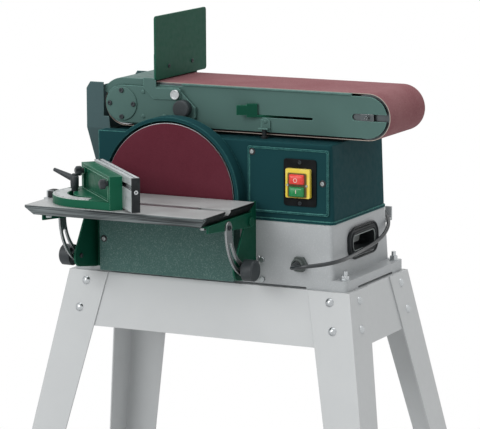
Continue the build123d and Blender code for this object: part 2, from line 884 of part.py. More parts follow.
# Lower disc cover: a sheet tray in front of the disc's lower half
cover_plate_back = disc_face - cover_gap
cover_front = cover_plate_back - cover_sheet
cover_x = (disc_x - disc_r - cover_side_gap - cover_sheet, disc_x + disc_r + cover_sheet + touch_gap * 8)
cover_low = deck + cover_bottom
cover_high = base_top + cover_top
cover_screw = (cover_x[0] + 2 * screw_head_r, deck + cover_screw_rise)
with BuildPart() as disc_lower_cover:
    block(cover_x, (cover_front, base_front), (cover_low, base_top - cover_wall_drop))
    inner_x = (cover_x[0] + cover_sheet, cover_x[1] - cover_sheet)
    inner_z = (cover_low + cover_sheet, base_top)
    block(inner_x, (cover_plate_back, 0), inner_z, Mode.SUBTRACT)
    block(cover_x, (cover_front, cover_plate_back), (cover_low, cover_high))
    rod(
        (cover_screw[0], 2 * cover_front, cover_screw[1]),
        (cover_screw[0], cover_plate_back + cover_sheet, cover_screw[1]),
        screw_r + seat_fit,
        Mode.SUBTRACT,
    )

# Switch: panel, plate, body and two buttons on the housing's front
panel_front = housing_front - panel_thickness
plate_right = panel_right - switch_plate_right
plate_x = (plate_right - switch_plate_width, plate_right)
plate_z = (panel_low + switch_plate_rise, panel_low + switch_plate_rise + switch_plate_height)
plate_middle = (plate_x[0] + plate_x[1]) / 2
plate_screw_inset = 1.2 * screw_head_r
plate_screw_z = (plate_z[0] + plate_screw_inset, plate_z[1] - plate_screw_inset)
plate_screws = [(plate_middle, height) for height in plate_screw_z]
plate_back = panel_front + panel_recess
plate_front = plate_back - switch_plate_sheet
switch_x = (plate_x[0] + switch_left, plate_x[0] + switch_left + switch_width)
switch_z = (plate_z[0] + switch_rise, plate_z[0] + switch_rise + switch_height)
switch_front = plate_front - switch_depth
button_x = (switch_x[0] + button_left, switch_x[0] + button_left + button_width)
buttons_middle = (switch_z[0] + switch_z[1]) / 2 - button_drop
stop_z = (buttons_middle + button_gap / 2, buttons_middle + button_gap / 2 + button_height)
start_z = (buttons_middle - button_gap / 2 - button_height, buttons_middle - button_gap / 2)

with BuildPart() as switch_panel:
    with BuildSketch(facing_front(housing_front)):
        rounded((panel_left, panel_right), (panel_low, panel_high), panel_border)
    extrude(amount=panel_thickness)
    with BuildSketch(facing_front(panel_front)):
        recess_x = (panel_left + panel_border, panel_right - panel_border)
        recess_z = (panel_low + panel_border, panel_high - panel_border)
        rounded(recess_x, recess_z, panel_border)
    extrude(amount=-panel_recess, mode=Mode.SUBTRACT)
    for x, z in panel_screws + plate_screws:
        rod((x, 2 * housing_front, z), (x, 0, z), screw_r + seat_fit, Mode.SUBTRACT)

with BuildPart() as switch_plate:
    with BuildSketch(facing_front(plate_back)):
        rounded(plate_x, plate_z, 2 * switch_plate_sheet)
    extrude(amount=switch_plate_sheet)
    for x, z in plate_screws:
        rod((x, 2 * housing_front, z), (x, 0, z), screw_r + seat_fit, Mode.SUBTRACT)

with BuildPart() as switch_body:
    with BuildSketch(facing_front(plate_front)):
        rounded(switch_x, switch_z, switch_plate_sheet)
        well_x = (button_x[0] - touch_gap, button_x[1] + touch_gap)
        for low, high in (stop_z, start_z):
            rounded(well_x, (low - touch_gap, high + touch_gap), switch_plate_sheet, Mode.SUBTRACT)
    extrude(amount=switch_depth)

with BuildPart() as stop_button:
    with BuildSketch(facing_front(switch_front - button_proud)):
        rounded(button_x, stop_z, switch_plate_sheet)
    extrude(amount=-button_depth)
    chamfer(stop_button.faces().sort_by(Axis.Y)[0].edges(), touch_gap * 3)

with BuildPart() as start_button:
    with BuildSketch(facing_front(switch_front - button_proud)):
        rounded(button_x, start_z, switch_plate_sheet)
    extrude(amount=-button_depth)
    chamfer(start_button.faces().sort_by(Axis.Y)[0].edges(), touch_gap * 3)

# Screws that hold the lower cover, the switch panel and the switch plate
with BuildPart() as cover_screws:
    seats = [(cover_screw, cover_front, cover_plate_back)]
    seats += [(place, panel_front + panel_recess, housing_front) for place in panel_screws]
    seats += [(place, plate_front, plate_back) for place in plate_screws]
    for (x, z), front, back in seats:
        rod((x, front, z), (x, back + housing_wall, z), screw_r)
        rod((x, front - screw_head, z), (x, front, z), screw_head_r)

# Motor: body with end walls and feet on the base, rotor with its shaft through both ends
with BuildPart() as motor_body:
    rod((disc_x, motor_front, disc_z), (disc_x, motor_rear, disc_z), motor_r)
    middle_y = (motor_front + motor_rear) / 2
    foot_y = (middle_y - motor_foot_length / 2, middle_y + motor_foot_length / 2)
    for side in (-1, 1):
        foot_x = span(side, motor_r - 2 * motor_foot, motor_foot_reach)
        block((disc_x + foot_x[0], disc_x + foot_x[1]), foot_y, (base_top, base_top + motor_foot))
    rod(
        (disc_x, motor_front + motor_wall, disc_z),
        (disc_x, motor_rear - motor_wall, disc_z),
        motor_bore_r,
        Mode.SUBTRACT,
    )
    rod(
        (disc_x, 2 * motor_front, disc_z),
        (disc_x, 2 * motor_rear, disc_z),
        motor_shaft_r + running_fit,
        Mode.SUBTRACT,
    )

pulley_front = housing_rear + pulley_offset
pulley_rear = pulley_front + pulley_width
shaft_front = abrasive_back + disc_thickness / 2
shaft_rear = pulley_rear + pulley_shaft_end

with BuildPart() as motor_rotor:
    rod((disc_x, shaft_front, disc_z), (disc_x, shaft_rear, disc_z), motor_shaft_r)
    core_y = (motor_front + motor_wall + rotor_end_gap, motor_rear - motor_wall - rotor_end_gap)
    rod((disc_x, core_y[0], disc_z), (disc_x, core_y[1], disc_z), motor_bore_r - rotor_gap)


def pulley(x, z, groove_r, bore_r):
    """Flanged pulley on a shaft along Y, in the part being built."""
    rod((x, pulley_front, z), (x, pulley_rear, z), groove_r)
    for edge in (pulley_front, pulley_rear - pulley_flange):
        rod((x, edge, z), (x, edge + pulley_flange, z), groove_r + pulley_flange_height)
    rod((x, pulley_front, z), (x, pulley_rear, z), bore_r + seat_fit, Mode.SUBTRACT)


with BuildPart() as motor_pulley:
    pulley(disc_x, disc_z, motor_pulley_r, motor_shaft_r)

with BuildPart() as drum_pulley:
    pulley(drum_x, drum_z, drum_pulley_r, drum_shaft_r)

# Drive belt round both pulleys, behind the housing
with BuildPart() as drive_belt:
    belt_back = pulley_rear - pulley_flange - drive_belt_margin
    for growth, mode in ((touch_gap + drive_belt_thickness, Mode.ADD), (touch_gap, Mode.SUBTRACT)):
        with BuildSketch(facing_front(belt_back)) as loop:
            with BuildLine():
                CenterArc((disc_x, disc_z), motor_pulley_r + growth, 0, 360)
                CenterArc((drum_x, drum_z), drum_pulley_r + growth, 0, 360)
            make_hull()
        extrude(amount=pulley_width - 2 * (pulley_flange + drive_belt_margin), mode=mode)

# Drive cover: a shell over both pulleys on the housing's rear wall
cover_back = housing_rear + drive_cover_depth
with BuildPart() as drive_cover:
    for shrink, mode in ((0, Mode.ADD), (drive_cover_wall, Mode.SUBTRACT)):
        with BuildSketch(facing_front(cover_back - shrink)):
            with BuildLine():
                CenterArc((disc_x, disc_z), drive_cover_low_r - shrink, 0, 360)
                CenterArc((drum_x, drum_z), drive_cover_high_r - shrink, 0, 360)
            make_hull()
        extrude(amount=drive_cover_depth - shrink, mode=mode)

# Disc: cast plate with a hub on the motor shaft, and the abrasive disc stuck to it
with BuildPart() as disc_plate:
    rod((disc_x, abrasive_back, disc_z), (disc_x, disc_back, disc_z), disc_r)
    rod((disc_x, disc_back, disc_z), (disc_x, disc_back + disc_hub, disc_z), disc_hub_r)
    rod(
        (disc_x, shaft_front, disc_z),
        (disc_x, disc_back + disc_hub, disc_z),
        motor_shaft_r + seat_fit,
        Mode.SUBTRACT,
    )

with BuildPart() as abrasive_disc:
    rod((disc_x, disc_face, disc_z), (disc_x, abrasive_back, disc_z), disc_r - abrasive_inset)

# Arm bracket: a pillow block on the housing's top that carries the arm's trunnion
with BuildPart() as arm_bracket:
    with BuildSketch(facing_front(housing_rear)):
        with BuildLine():
            CenterArc((drum_x, drum_z), arm_bracket_r, 0, 360)
            foot_left = housing_left + housing_edge_r
            Polyline(
                (foot_left, housing_top + arm_bracket_foot_height),
                (foot_left, housing_top),
                (foot_left + arm_bracket_foot, housing_top),
                (foot_left + arm_bracket_foot, housing_top + arm_bracket_foot_height),
                close=True,
            )
        make_hull()
        with Locations((drum_x, drum_z)):
            Circle(trunnion_r, mode=Mode.SUBTRACT)
    extrude(amount=arm_bracket_thickness)

# Drive drum with its shaft, and the two bearings that carry it
rear_bearing = housing_rear - bearing_width
front_bearing = end_plate_front + drum_end_gap / 4
with BuildPart() as drive_drum:
    rod((drum_x, drum_front, drum_z), (drum_x, drum_rear, drum_z), drum_r)
    rod((drum_x, front_bearing, drum_z), (drum_x, shaft_rear, drum_z), drum_shaft_r)

with BuildPart() as drum_bearings:
    for front in (front_bearing, rear_bearing):
        rod((drum_x, front, drum_z), (drum_x, front + bearing_width, drum_z), bearing_r)
    rod(
        (drum_x, 2 * front_bearing, drum_z),
        (drum_x, 2 * shaft_rear, drum_z),
        drum_shaft_r + running_fit,
        Mode.SUBTRACT,
    )

# Arm plates: stadium-shaped side plates; the front one has the lever's slot, the axle's slot and a lip
lever_z = drum_z - lever_drop
lever_pivot = (drum_x + lever_pivot_x, arm_front_inner + lever_pivot_inset)
slot_run = lever_pivot_inset + arm_sheet
slot_ends = []
for angle in (lever_rest_angle, lever_rest_angle + lever_swing):
    lean = abs(sin(radians(angle)))
    slant = slot_run / lean * cos(radians(angle))
    half_bar = lever_bar_width / 2 / lean
    outward = 1 if slant > 0 else -1
    slot_ends.append(lever_pivot[0] + slant + outward * (half_bar + lever_slot_margin))
lever_slot_height = lever_bar + 2 * touch_gap
idler_slot_x = idler_x - idler_block / 2 - idler_travel - idler_slot_height / 2 - idler_slot_margin
rest_x = (drum_x + rest_tab_x - rest_tab_width / 2, drum_x + rest_tab_x + rest_tab_width / 2)
rest_z = drum_z - arm_half_height + rest_rise


def stadium(radius):
    """Outline round the drum's and the idler's axes, in the sketch being drawn."""
    with Locations(((drum_x + idler_x) / 2, drum_z)):
        SlotCenterToCenter(drum_distance, 2 * radius)


def axle_slot():
    """Open slot for the idler's axle, cut from the sketch being drawn."""
    slot_end = idler_x + 2 * arm_half_height
    with Locations(((idler_slot_x + slot_end) / 2, drum_z)):
        SlotOverall(slot_end - idler_slot_x, idler_slot_height, mode=Mode.SUBTRACT)


with BuildPart() as arm_front_plate:
    with BuildSketch(facing_front(arm_front_inner)):
        stadium(arm_half_height)
        with Locations((drum_x, drum_z)):
            Circle(bearing_r + seat_fit, mode=Mode.SUBTRACT)
        with Locations(((slot_ends[0] + slot_ends[1]) / 2, lever_z)):
            SlotOverall(slot_ends[1] - slot_ends[0], lever_slot_height, mode=Mode.SUBTRACT)
        axle_slot()
    extrude(amount=arm_sheet)
    lip_x = (drum_x + arm_lip_start, idler_x - arm_lip_end)
    lip_top = drum_z + arm_half_height + arm_lip_rise
    lip_foot = drum_z + arm_half_height - arm_sheet
    block(lip_x, (arm_front, arm_front_inner), (lip_foot, lip_top))
    block(lip_x, (arm_front - arm_lip, arm_front_inner), (lip_top - arm_sheet, lip_top))
    block(rest_x, (arm_front - arm_sheet, arm_front_inner), (rest_z, rest_z + rest_tab_height))
    block(rest_x, (arm_front - rest_lip, arm_front_inner), (rest_z, rest_z + arm_sheet))

with BuildPart() as arm_rear_plate:
    with BuildSketch(facing_front(arm_rear)):
        stadium(arm_half_height)
        axle_slot()
    extrude(amount=arm_sheet)
    trunnion_tip = (drum_x, housing_rear + trunnion_end, drum_z)
    rod((drum_x, arm_rear_inner, drum_z), trunnion_tip, trunnion_r - running_fit)
    rod(
        (drum_x, 0, drum_z), (drum_x, 2 * housing_rear, drum_z), bearing_r + seat_fit, Mode.SUBTRACT
    )

# Platen under the belt's upper run, with the spring's seat and the lever's pin
platen_x = (drum_x + drum_r + platen_left_gap, idler_x - drum_r - platen_right_gap)
platen_top = drum_z + belt_inner_r
platen_under = platen_top - platen_thickness
spring_end = idler_x - yoke_reach
spring_start = spring_end - spring_length
with BuildPart() as platen:
    block(platen_x, (arm_front_inner, arm_rear_inner), (platen_under, platen_top))
    for edge in (arm_front_inner, arm_rear_inner - arm_sheet):
        block(platen_x, (edge, edge + arm_sheet), (platen_under - platen_flange, platen_top))
    seat_z = (drum_z - spring_r - spring_wire_r, platen_top)
    seat_y = (belt_y - spring_r - spring_wire_r, belt_y + spring_r + spring_wire_r)
    block((spring_start - spring_seat, spring_start), seat_y, seat_z)
    lever_top = lever_z + lever_bar / 2 + touch_gap
    rod((*lever_pivot, lever_top), (*lever_pivot, platen_top), lever_hub_r)
    rod((*lever_pivot, lever_z - lever_bar), (*lever_pivot, platen_top), lever_pin_r)

# End plate on the arm's front, round the drum's bearing, and its round cover
stop_bolt = (drum_x + stop_bolt_x, drum_z + stop_bolt_rise)
tracking_x = drum_x + tracking_knob_x
tracking_z = drum_z - tracking_knob_drop
cover_screw_places = [
    (drum_x + drum_cover_screw_r * cos(radians(turn)), drum_z + drum_cover_screw_r * sin(radians(turn)))
    for turn in (0, 90, 180, 270)
]
with BuildPart() as end_plate:
    right = drum_x + end_plate_length
    with BuildSketch(facing_front(arm_front)):
        with BuildLine():
            Polyline(
                (drum_x, drum_z - end_plate_r),
                (right - end_plate_slant / 2, drum_z - end_plate_r),
                (right, drum_z - end_plate_slant / 2),
                (right, drum_z),
                (right - end_plate_slant, drum_z + end_plate_r),
                (drum_x, drum_z + end_plate_r),
            )
            ThreePointArc(
                (drum_x, drum_z + end_plate_r), (drum_x - end_plate_r, drum_z), (drum_x, drum_z - end_plate_r)
            )
        make_face()
        with Locations((drum_x, drum_z)):
            Circle(bearing_r + seat_fit, mode=Mode.SUBTRACT)
        with Locations((tracking_x, tracking_z)):
            Circle(tracking_stud_r + running_fit, mode=Mode.SUBTRACT)
        with Locations(*cover_screw_places):
            Circle(screw_r + seat_fit, mode=Mode.SUBTRACT)
    extrude(amount=end_plate_thickness)

with BuildPart() as drum_cover:
    rod((drum_x, drum_cover_front, drum_z), (drum_x, end_plate_front, drum_z), drum_cover_r)
    fillet(drum_cover.faces().sort_by(Axis.Y)[0].edges(), drum_cover_thickness / 2)
    for x, z in cover_screw_places:
        rod((x, 2 * drum_cover_front, z), (x, 0, z), screw_r + seat_fit, Mode.SUBTRACT)

# Idler drum and its axle: a yoke whose end blocks slide in the plates' slots
with BuildPart() as idler_drum:
    rod((idler_x, drum_front, drum_z), (idler_x, drum_rear, drum_z), drum_r)
    rod(
        (idler_x, 2 * drum_front, drum_z),
        (idler_x, 2 * drum_rear, drum_z),
        idler_shaft_r + running_fit,
        Mode.SUBTRACT,
    )

strap_front = arm_front_inner + yoke_gap
strap_rear = arm_rear_inner - yoke_gap
with BuildPart() as idler_axle:
    rod((idler_x, strap_front, drum_z), (idler_x, strap_rear, drum_z), idler_shaft_r)
    strap_x = (spring_end, idler_x + idler_shaft_r)
    strap_z = (drum_z - yoke_height / 2, drum_z + yoke_height / 2)
    block_x = (idler_x - idler_block / 2, idler_x + idler_block / 2)
    block_z = (drum_z - idler_slot_height / 2 + touch_gap, drum_z + idler_slot_height / 2 - touch_gap)
    for strap, outer in ((strap_front, arm_front), (strap_rear, arm_rear)):
        side = 1 if outer > strap else -1
        strap_y = sorted((strap, strap - side * yoke_strap))
        block(strap_x, strap_y, strap_z)
        block(block_x, sorted((strap, outer + side * idler_block_proud)), block_z)
        screw_end = outer + side * (idler_block_proud + idler_screw_r)
        rod((idler_x, strap, drum_z), (idler_x, screw_end, drum_z), idler_screw_r)
    bar_z = (drum_z - yoke_height / 2, drum_z + yoke_height / 2)
    block((spring_end, spring_end + yoke_bar), (strap_front, strap_rear), bar_z)

# Tension spring: one open helix between its seat and the yoke's bar
with BuildPart() as tension_spring:
    coil_start = spring_start + spring_wire_r + seat_fit
    advance = spring_length - 2 * (spring_wire_r + seat_fit)
    quarter_turns = 4 * spring_turns
    places = []
    headings = []
    for number in range(quarter_turns + 1):
        turn = pi / 2 * number
        along = coil_start + advance * number / quarter_turns
        places.append(Vector(along, belt_y + spring_r * cos(turn), drum_z + spring_r * sin(turn)))
        rise = advance / (2 * pi * spring_turns)
        headings.append(Vector(rise, -spring_r * sin(turn), spring_r * cos(turn)).normalized())
    with BuildLine() as spring_path:
        for number in range(quarter_turns):
            biarc(places[number], headings[number], places[number + 1], headings[number + 1])
    with BuildSketch(Plane(origin=places[0], z_dir=headings[0])):
        Circle(spring_wire_r)
    sweep()
print("spring self gap", round(least_self_gap(spring_path.wire(), spring_wire_r, 400, pi * spring_r), 2))

# Tension lever: a flat bar on an upright pin, out through the plate's slot to a tab and a grip
lever_plane = Plane(
    origin=(*lever_pivot, lever_z),
    x_dir=(cos(radians(lever_rest_angle)), sin(radians(lever_rest_angle)), 0),
    z_dir=(0, 0, 1),
)
with BuildPart() as tension_lever:
    rod((0, 0, -lever_bar / 2), (0, 0, lever_bar / 2), lever_hub_r, plane=lever_plane)
    half_bar = (-lever_bar_width / 2, lever_bar_width / 2)
    half_tab = (-lever_tab_width / 2, lever_tab_width / 2)
    block((0, lever_tab_end), half_bar, (-lever_bar / 2, lever_bar / 2), plane=lever_plane)
    tab_z = (-lever_bar / 2, lever_tab_height - lever_bar / 2)
    block((lever_tab_start, lever_tab_end), half_tab, tab_z, plane=lever_plane)
    grip_z = (lever_bar / 2, lever_bar / 2 + lever_block_height)
    grip_y = (-lever_tab_width, lever_tab_width / 2)
    block((lever_tab_end, lever_reach), grip_y, grip_z, plane=lever_plane)
    rod(
        (0, 0, -lever_bar), (0, 0, lever_bar), lever_pin_r + running_fit, Mode.SUBTRACT, lever_plane
    )

# Sanding belt: one thin loop round both drums and over the platen
with BuildPart() as sanding_belt:
    with BuildSketch(facing_front(belt_rear)):
        stadium(belt_outer_r)
        with Locations(((drum_x + idler_x) / 2, drum_z)):
            SlotCenterToCenter(drum_distance, 2 * belt_inner_r, mode=Mode.SUBTRACT)
    extrude(amount=belt_width)

# Tracking knob: a ribbed knob on a stud in the end plate
with BuildPart() as tracking_knob:
    knob_back = end_plate_front - tracking_knob_gap
    with BuildSketch(facing_front(knob_back)):
        with Locations((tracking_x, tracking_z)):
            Circle(tracking_knob_r)
    extrude(amount=tracking_knob_length)
    chamfer(tracking_knob.faces().sort_by(Axis.Y)[0].edges(), tracking_knob_gap)
    stud_start = (tracking_x, knob_back, tracking_z)
    rod(stud_start, (tracking_x, arm_front - arm_sheet / 2, tracking_z), tracking_stud_r)

# Belt guard: a bent sheet over the drum's upper left, with a flange against each arm plate
guard_inner_r = belt_outer_r + guard_gap
guard_outer_r = guard_inner_r + guard_sheet
guard_front = arm_front - guard_flange
guard_rear = arm_rear + guard_flange


def guard_outline(inner, outer):
    """Band that follows the guard's arc and its flat top, in the sketch being drawn."""
    turn = radians(guard_end_angle)
    arc_mid = radians((90 + guard_end_angle) / 2)
    with BuildLine() as band:
        flat_end = drum_x + guard_length
        Line((drum_x, drum_z + outer), (flat_end, drum_z + outer))
        Line((flat_end, drum_z + outer), (flat_end, drum_z + inner))
        Line((flat_end, drum_z + inner), (drum_x, drum_z + inner))
        ThreePointArc(
            (drum_x, drum_z + inner),
            (drum_x + inner * cos(arc_mid), drum_z + inner * sin(arc_mid)),
            (drum_x + inner * cos(turn), drum_z + inner * sin(turn)),
        )
        Line(
            (drum_x + inner * cos(turn), drum_z + inner * sin(turn)),
            (drum_x + outer * cos(turn), drum_z + outer * sin(turn)),
        )
        ThreePointArc(
            (drum_x + outer * cos(turn), drum_z + outer * sin(turn)),
            (drum_x + outer * cos(arc_mid), drum_z + outer * sin(arc_mid)),
            (drum_x, drum_z + outer),
        )
    make_face(band.edges())


with BuildPart() as belt_guard:
    with BuildSketch(facing_front(guard_rear)):
        guard_outline(guard_inner_r, guard_outer_r)
    extrude(amount=guard_rear - guard_front)
    for rear in (guard_rear, arm_front):
        with BuildSketch(facing_front(rear)):
            guard_outline(guard_outer_r - guard_flange_depth, guard_outer_r)
        extrude(amount=guard_flange)

# Work stop: an upright plate across the belt, and the bracket that holds it to the end plate
stop_left_x = drum_x + stop_x
stop_back_x = stop_left_x + stop_sheet
stop_low = drum_z + belt_outer_r + stop_gap
stop_y = (end_plate_front - stop_left, arm_rear + stop_right)
stop_screws = [(belt_y + side * stop_screw_spread, stop_low + stop_screw_rise) for side in (-1, 1)]
with BuildPart() as work_stop:
    with BuildSketch(facing_right(stop_left_x)):
        rounded(stop_y, (stop_low, stop_low + stop_height), stop_corner)
        with Locations(*stop_screws):
            Circle(screw_r + seat_fit, mode=Mode.SUBTRACT)
    extrude(amount=stop_sheet)

bracket_face = end_plate_front - stop_sheet
with BuildPart() as stop_bracket:
    tab_right = stop_left_x
    tab_left = tab_right - stop_sheet - stop_tab
    foot_low = drum_z + stop_foot_drop
    foot_high = foot_low + stop_foot_height
    with BuildSketch(facing_front(end_plate_front)):
        with BuildLine():
            Polyline(
                (tab_left, stop_low + stop_sheet),
                (tab_left, foot_high),
                (tab_left + stop_foot_height, foot_low),
                (tab_right + stop_foot_length - stop_foot_corner, foot_low),
                (tab_right + stop_foot_length, foot_low + stop_foot_corner),
                (tab_right + stop_foot_length, foot_high),
                (tab_right, foot_high),
                (tab_right, stop_low + stop_sheet),
                close=True,
            )
        make_face()
        with Locations(stop_bolt):
            Circle(screw_r + seat_fit, mode=Mode.SUBTRACT)
    extrude(amount=stop_sheet)
    wing_y = (bracket_face, bracket_face + stop_wing_depth)
    wing_z = (stop_low, stop_low + stop_wing_height)
    block((tab_right - stop_sheet, tab_right), wing_y, wing_z)
    for y, z in stop_screws:
        tab_hole = ((tab_right - 2 * stop_sheet, y, z), (tab_right + stop_sheet, y, z))
        rod(*tab_hole, screw_r + seat_fit, Mode.SUBTRACT)

# Fasteners of the arm: cover screws, rivets, the bright stop bolt and the work stop's screws
rivet_places = [
    (drum_x + rivet_near, drum_z + rivet_upper),
    (drum_x + rivet_near, drum_z - rivet_lower),
    (drum_x + rivet_far, drum_z - rivet_lower + rivet_step),
]
with BuildPart() as arm_fasteners:
    for x, z in cover_screw_places:
        rod((x, drum_cover_front, z), (x, end_plate_front + end_plate_thickness, z), screw_r)
        rod((x, drum_cover_front - screw_head, z), (x, drum_cover_front, z), screw_head_r)
    for x, z in rivet_places:
        rod((x, end_plate_front - rivet_head, z), (x, end_plate_front, z), rivet_r)
    bolt_x, bolt_z = stop_bolt
    rod((bolt_x, bracket_face, bolt_z), (bolt_x, end_plate_front, bolt_z), screw_r)
    rod((bolt_x, bracket_face - stop_bolt_head, bolt_z), (bolt_x, bracket_face, bolt_z), stop_bolt_r)
    for y, z in stop_screws:
        rod((stop_left_x - stop_sheet, y, z), (stop_back_x, y, z), screw_r)
        rod((stop_back_x, y, z), (stop_back_x + screw_head, y, z), screw_head_r)

# Arm rest: a post on the housing's top under the arm's lip
with BuildPart() as arm_rest:
    post_y = arm_front - rest_lip / 2
    post_x = drum_x + rest_tab_x
    rod((post_x, post_y, housing_top), (post_x, post_y, rest_z - touch_gap), rest_post_r)
    rod((post_x, post_y, housing_top), (post_x, post_y, housing_top + rest_post_r), 1.5 * rest_post_r)

# Dust hood: cheeks round the drum's left end, a funnel, a collector box and a hose spigot
hood_x = drum_x - hood_left
hood_front = end_plate_front - hood_front_gap - drum_cover_thickness
hood_rear = arm_rear + hood_side_gap + hood_sheet
throat_x = (hood_x, hood_x + hood_throat)
box_top = housing_top - hood_funnel_height
box_x = (hood_x - hood_box_left, housing_left)
box_y = (-hood_box_half_depth, hood_box_half_depth)
spigot_place = ((box_x[0] + box_x[1]) / 2, base_top + spigot_rise)
with BuildPart() as dust_hood:
    for cheek in (hood_front + hood_sheet, hood_rear):
        with BuildSketch(facing_front(cheek)):
            with BuildLine():
                Polyline(
                    (hood_x, housing_top),
                    (hood_x, drum_z + hood_rise - hood_chamfer_z),
                    (hood_x + hood_chamfer_x, drum_z + hood_rise),
                    (drum_x - hood_cheek, drum_z + hood_rise),
                    (drum_x - hood_cheek, drum_z - hood_step_drop),
                    (drum_x - hood_step, drum_z - hood_step_drop),
                    (throat_x[1], housing_top),
                    close=True,
                )
            make_face()
        extrude(amount=hood_sheet)
    block((hood_x, hood_x + hood_sheet), (hood_front, hood_rear), (housing_top, drum_z + hood_wall_rise))
    for inset, mode in ((0, Mode.ADD), (hood_sheet, Mode.SUBTRACT)):
        for height, depth in ((housing_top, (hood_front, hood_rear)), (box_top, box_y)):
            with BuildSketch(level(height)):
                with Locations(((throat_x[0] + throat_x[1]) / 2, (depth[0] + depth[1]) / 2)):
                    Rectangle(hood_throat - 2 * inset, depth[1] - depth[0] - 2 * inset)
        loft(ruled=True, mode=mode)
    block(box_x, box_y, (base_top, box_top))
    spigot_end = (spigot_place[0], box_y[1] + spigot_length, spigot_place[1])
    rod((spigot_place[0], 0, spigot_place[1]), spigot_end, spigot_r)
    rod(
        (spigot_place[0], 0, spigot_place[1]),
        (spigot_place[0], 2 * housing_rear, spigot_place[1]),
        spigot_r - hood_sheet,
        Mode.SUBTRACT,
    )
    inner_x = (box_x[0] + hood_sheet, box_x[1] - hood_sheet)
    inner_y = (box_y[0] + hood_sheet, box_y[1] - hood_sheet)
    block(inner_x, inner_y, (base_top + hood_sheet, box_top - hood_sheet), Mode.SUBTRACT)
    throat_inner = (throat_x[0] + hood_sheet, throat_x[1] - hood_sheet)
    block(throat_inner, inner_y, (box_top - 2 * hood_sheet, box_top + hood_sheet), Mode.SUBTRACT)

# Table: a cast plate with a bevelled rim, a mitre slot and pockets below
with BuildPart() as table:
    half = table_length / 2
    with BuildSketch(level(table_top)):
        with Locations((table_x, (table_front + table_rear) / 2)):
            Rectangle(table_length, table_depth)
    extrude(amount=-table_edge)
    for height, inset in ((table_top - table_edge, 0), (table_under, table_bevel)):
        with BuildSketch(level(height)):
            with Locations((table_x, (table_front + inset + table_rear) / 2)):
                Rectangle(table_length - 2 * inset, table_depth - inset)
    loft(ruled=True)
    slot_half = slot_width / 2
    block(
        (table_x - table_length, table_x + table_length),
        (slot_y - slot_half, slot_y + slot_half),
        (table_top - slot_depth, table_top + slot_depth),
        Mode.SUBTRACT,
    )
    pocket_x = (table_x - half + table_pocket_wall, table_x + half - table_pocket_wall)
    pocket_z = (table_under - table_skin, table_top - table_skin)
    front_pocket = (table_front + table_bevel + table_skin, slot_y - slot_half - table_pocket_border / 2)
    rear_pocket = (slot_y + slot_half + table_pocket_border / 2, table_rear - table_pocket_border)
    for pocket_y in (front_pocket, rear_pocket):
        block(pocket_x, pocket_y, pocket_z, Mode.SUBTRACT)

# Table arms: an angle under each end of the table, with a lobe round the hinge pin
arm_y = (table_rear - table_arm_rear_gap - table_arm_length, table_rear - table_arm_rear_gap)
with BuildPart() as table_arms:
    for side in (-1, 1):
        plate_limits = span(side, arm_inner, arm_outer)
        with BuildSketch(facing_right(support_x + plate_limits[0])):
            with BuildLine():
                CenterArc((hinge_y, hinge_z), hinge_lobe_r, 0, 360)
                Polyline(
                    (arm_y[0], table_under - table_arm_front),
                    (arm_y[0], table_under),
                    (arm_y[1], table_under),
                    (arm_y[1], hinge_z),
                    close=True,
                )
            make_hull()
            with Locations((hinge_y, hinge_z)):
                Circle(hinge_pin_r + running_fit, mode=Mode.SUBTRACT)
        extrude(amount=arm_sheet_table)
        flange_x = span(side, arm_outer - table_arm_flange, arm_outer - arm_sheet_table / 2)
        flange_x = (support_x + flange_x[0], support_x + flange_x[1])
        block(flange_x, arm_y, (table_under - arm_sheet_table, table_under))

# Tilt quadrants: a slotted arc about the hinge, outside each table arm
lock_angle = radians(quadrant_lock_angle)
lock_y = hinge_y - quadrant_r * cos(lock_angle)
lock_z = hinge_z - quadrant_r * sin(lock_angle)
slot_first = quadrant_lock_angle - table_tilt - 1
slot_last = quadrant_lock_angle + 1
quadrant_sweep = quadrant_lock_angle + quadrant_end_margin - quadrant_top_angle
quadrant_band = CenterArc((0, 0), quadrant_r, 180 + quadrant_top_angle, quadrant_sweep)
quadrant_groove = CenterArc((0, 0), quadrant_r, 180 + slot_first, slot_last - slot_first)
with BuildPart() as tilt_quadrants:
    for side in (-1, 1):
        limits = span(side, arm_outer, arm_outer + arm_sheet_table)
        with BuildSketch(facing_right(support_x + limits[0])):
            with Locations((hinge_y, hinge_z)):
                SlotArc(quadrant_band, quadrant_width)
                SlotArc(quadrant_groove, quadrant_slot, mode=Mode.SUBTRACT)
        extrude(amount=arm_sheet_table)

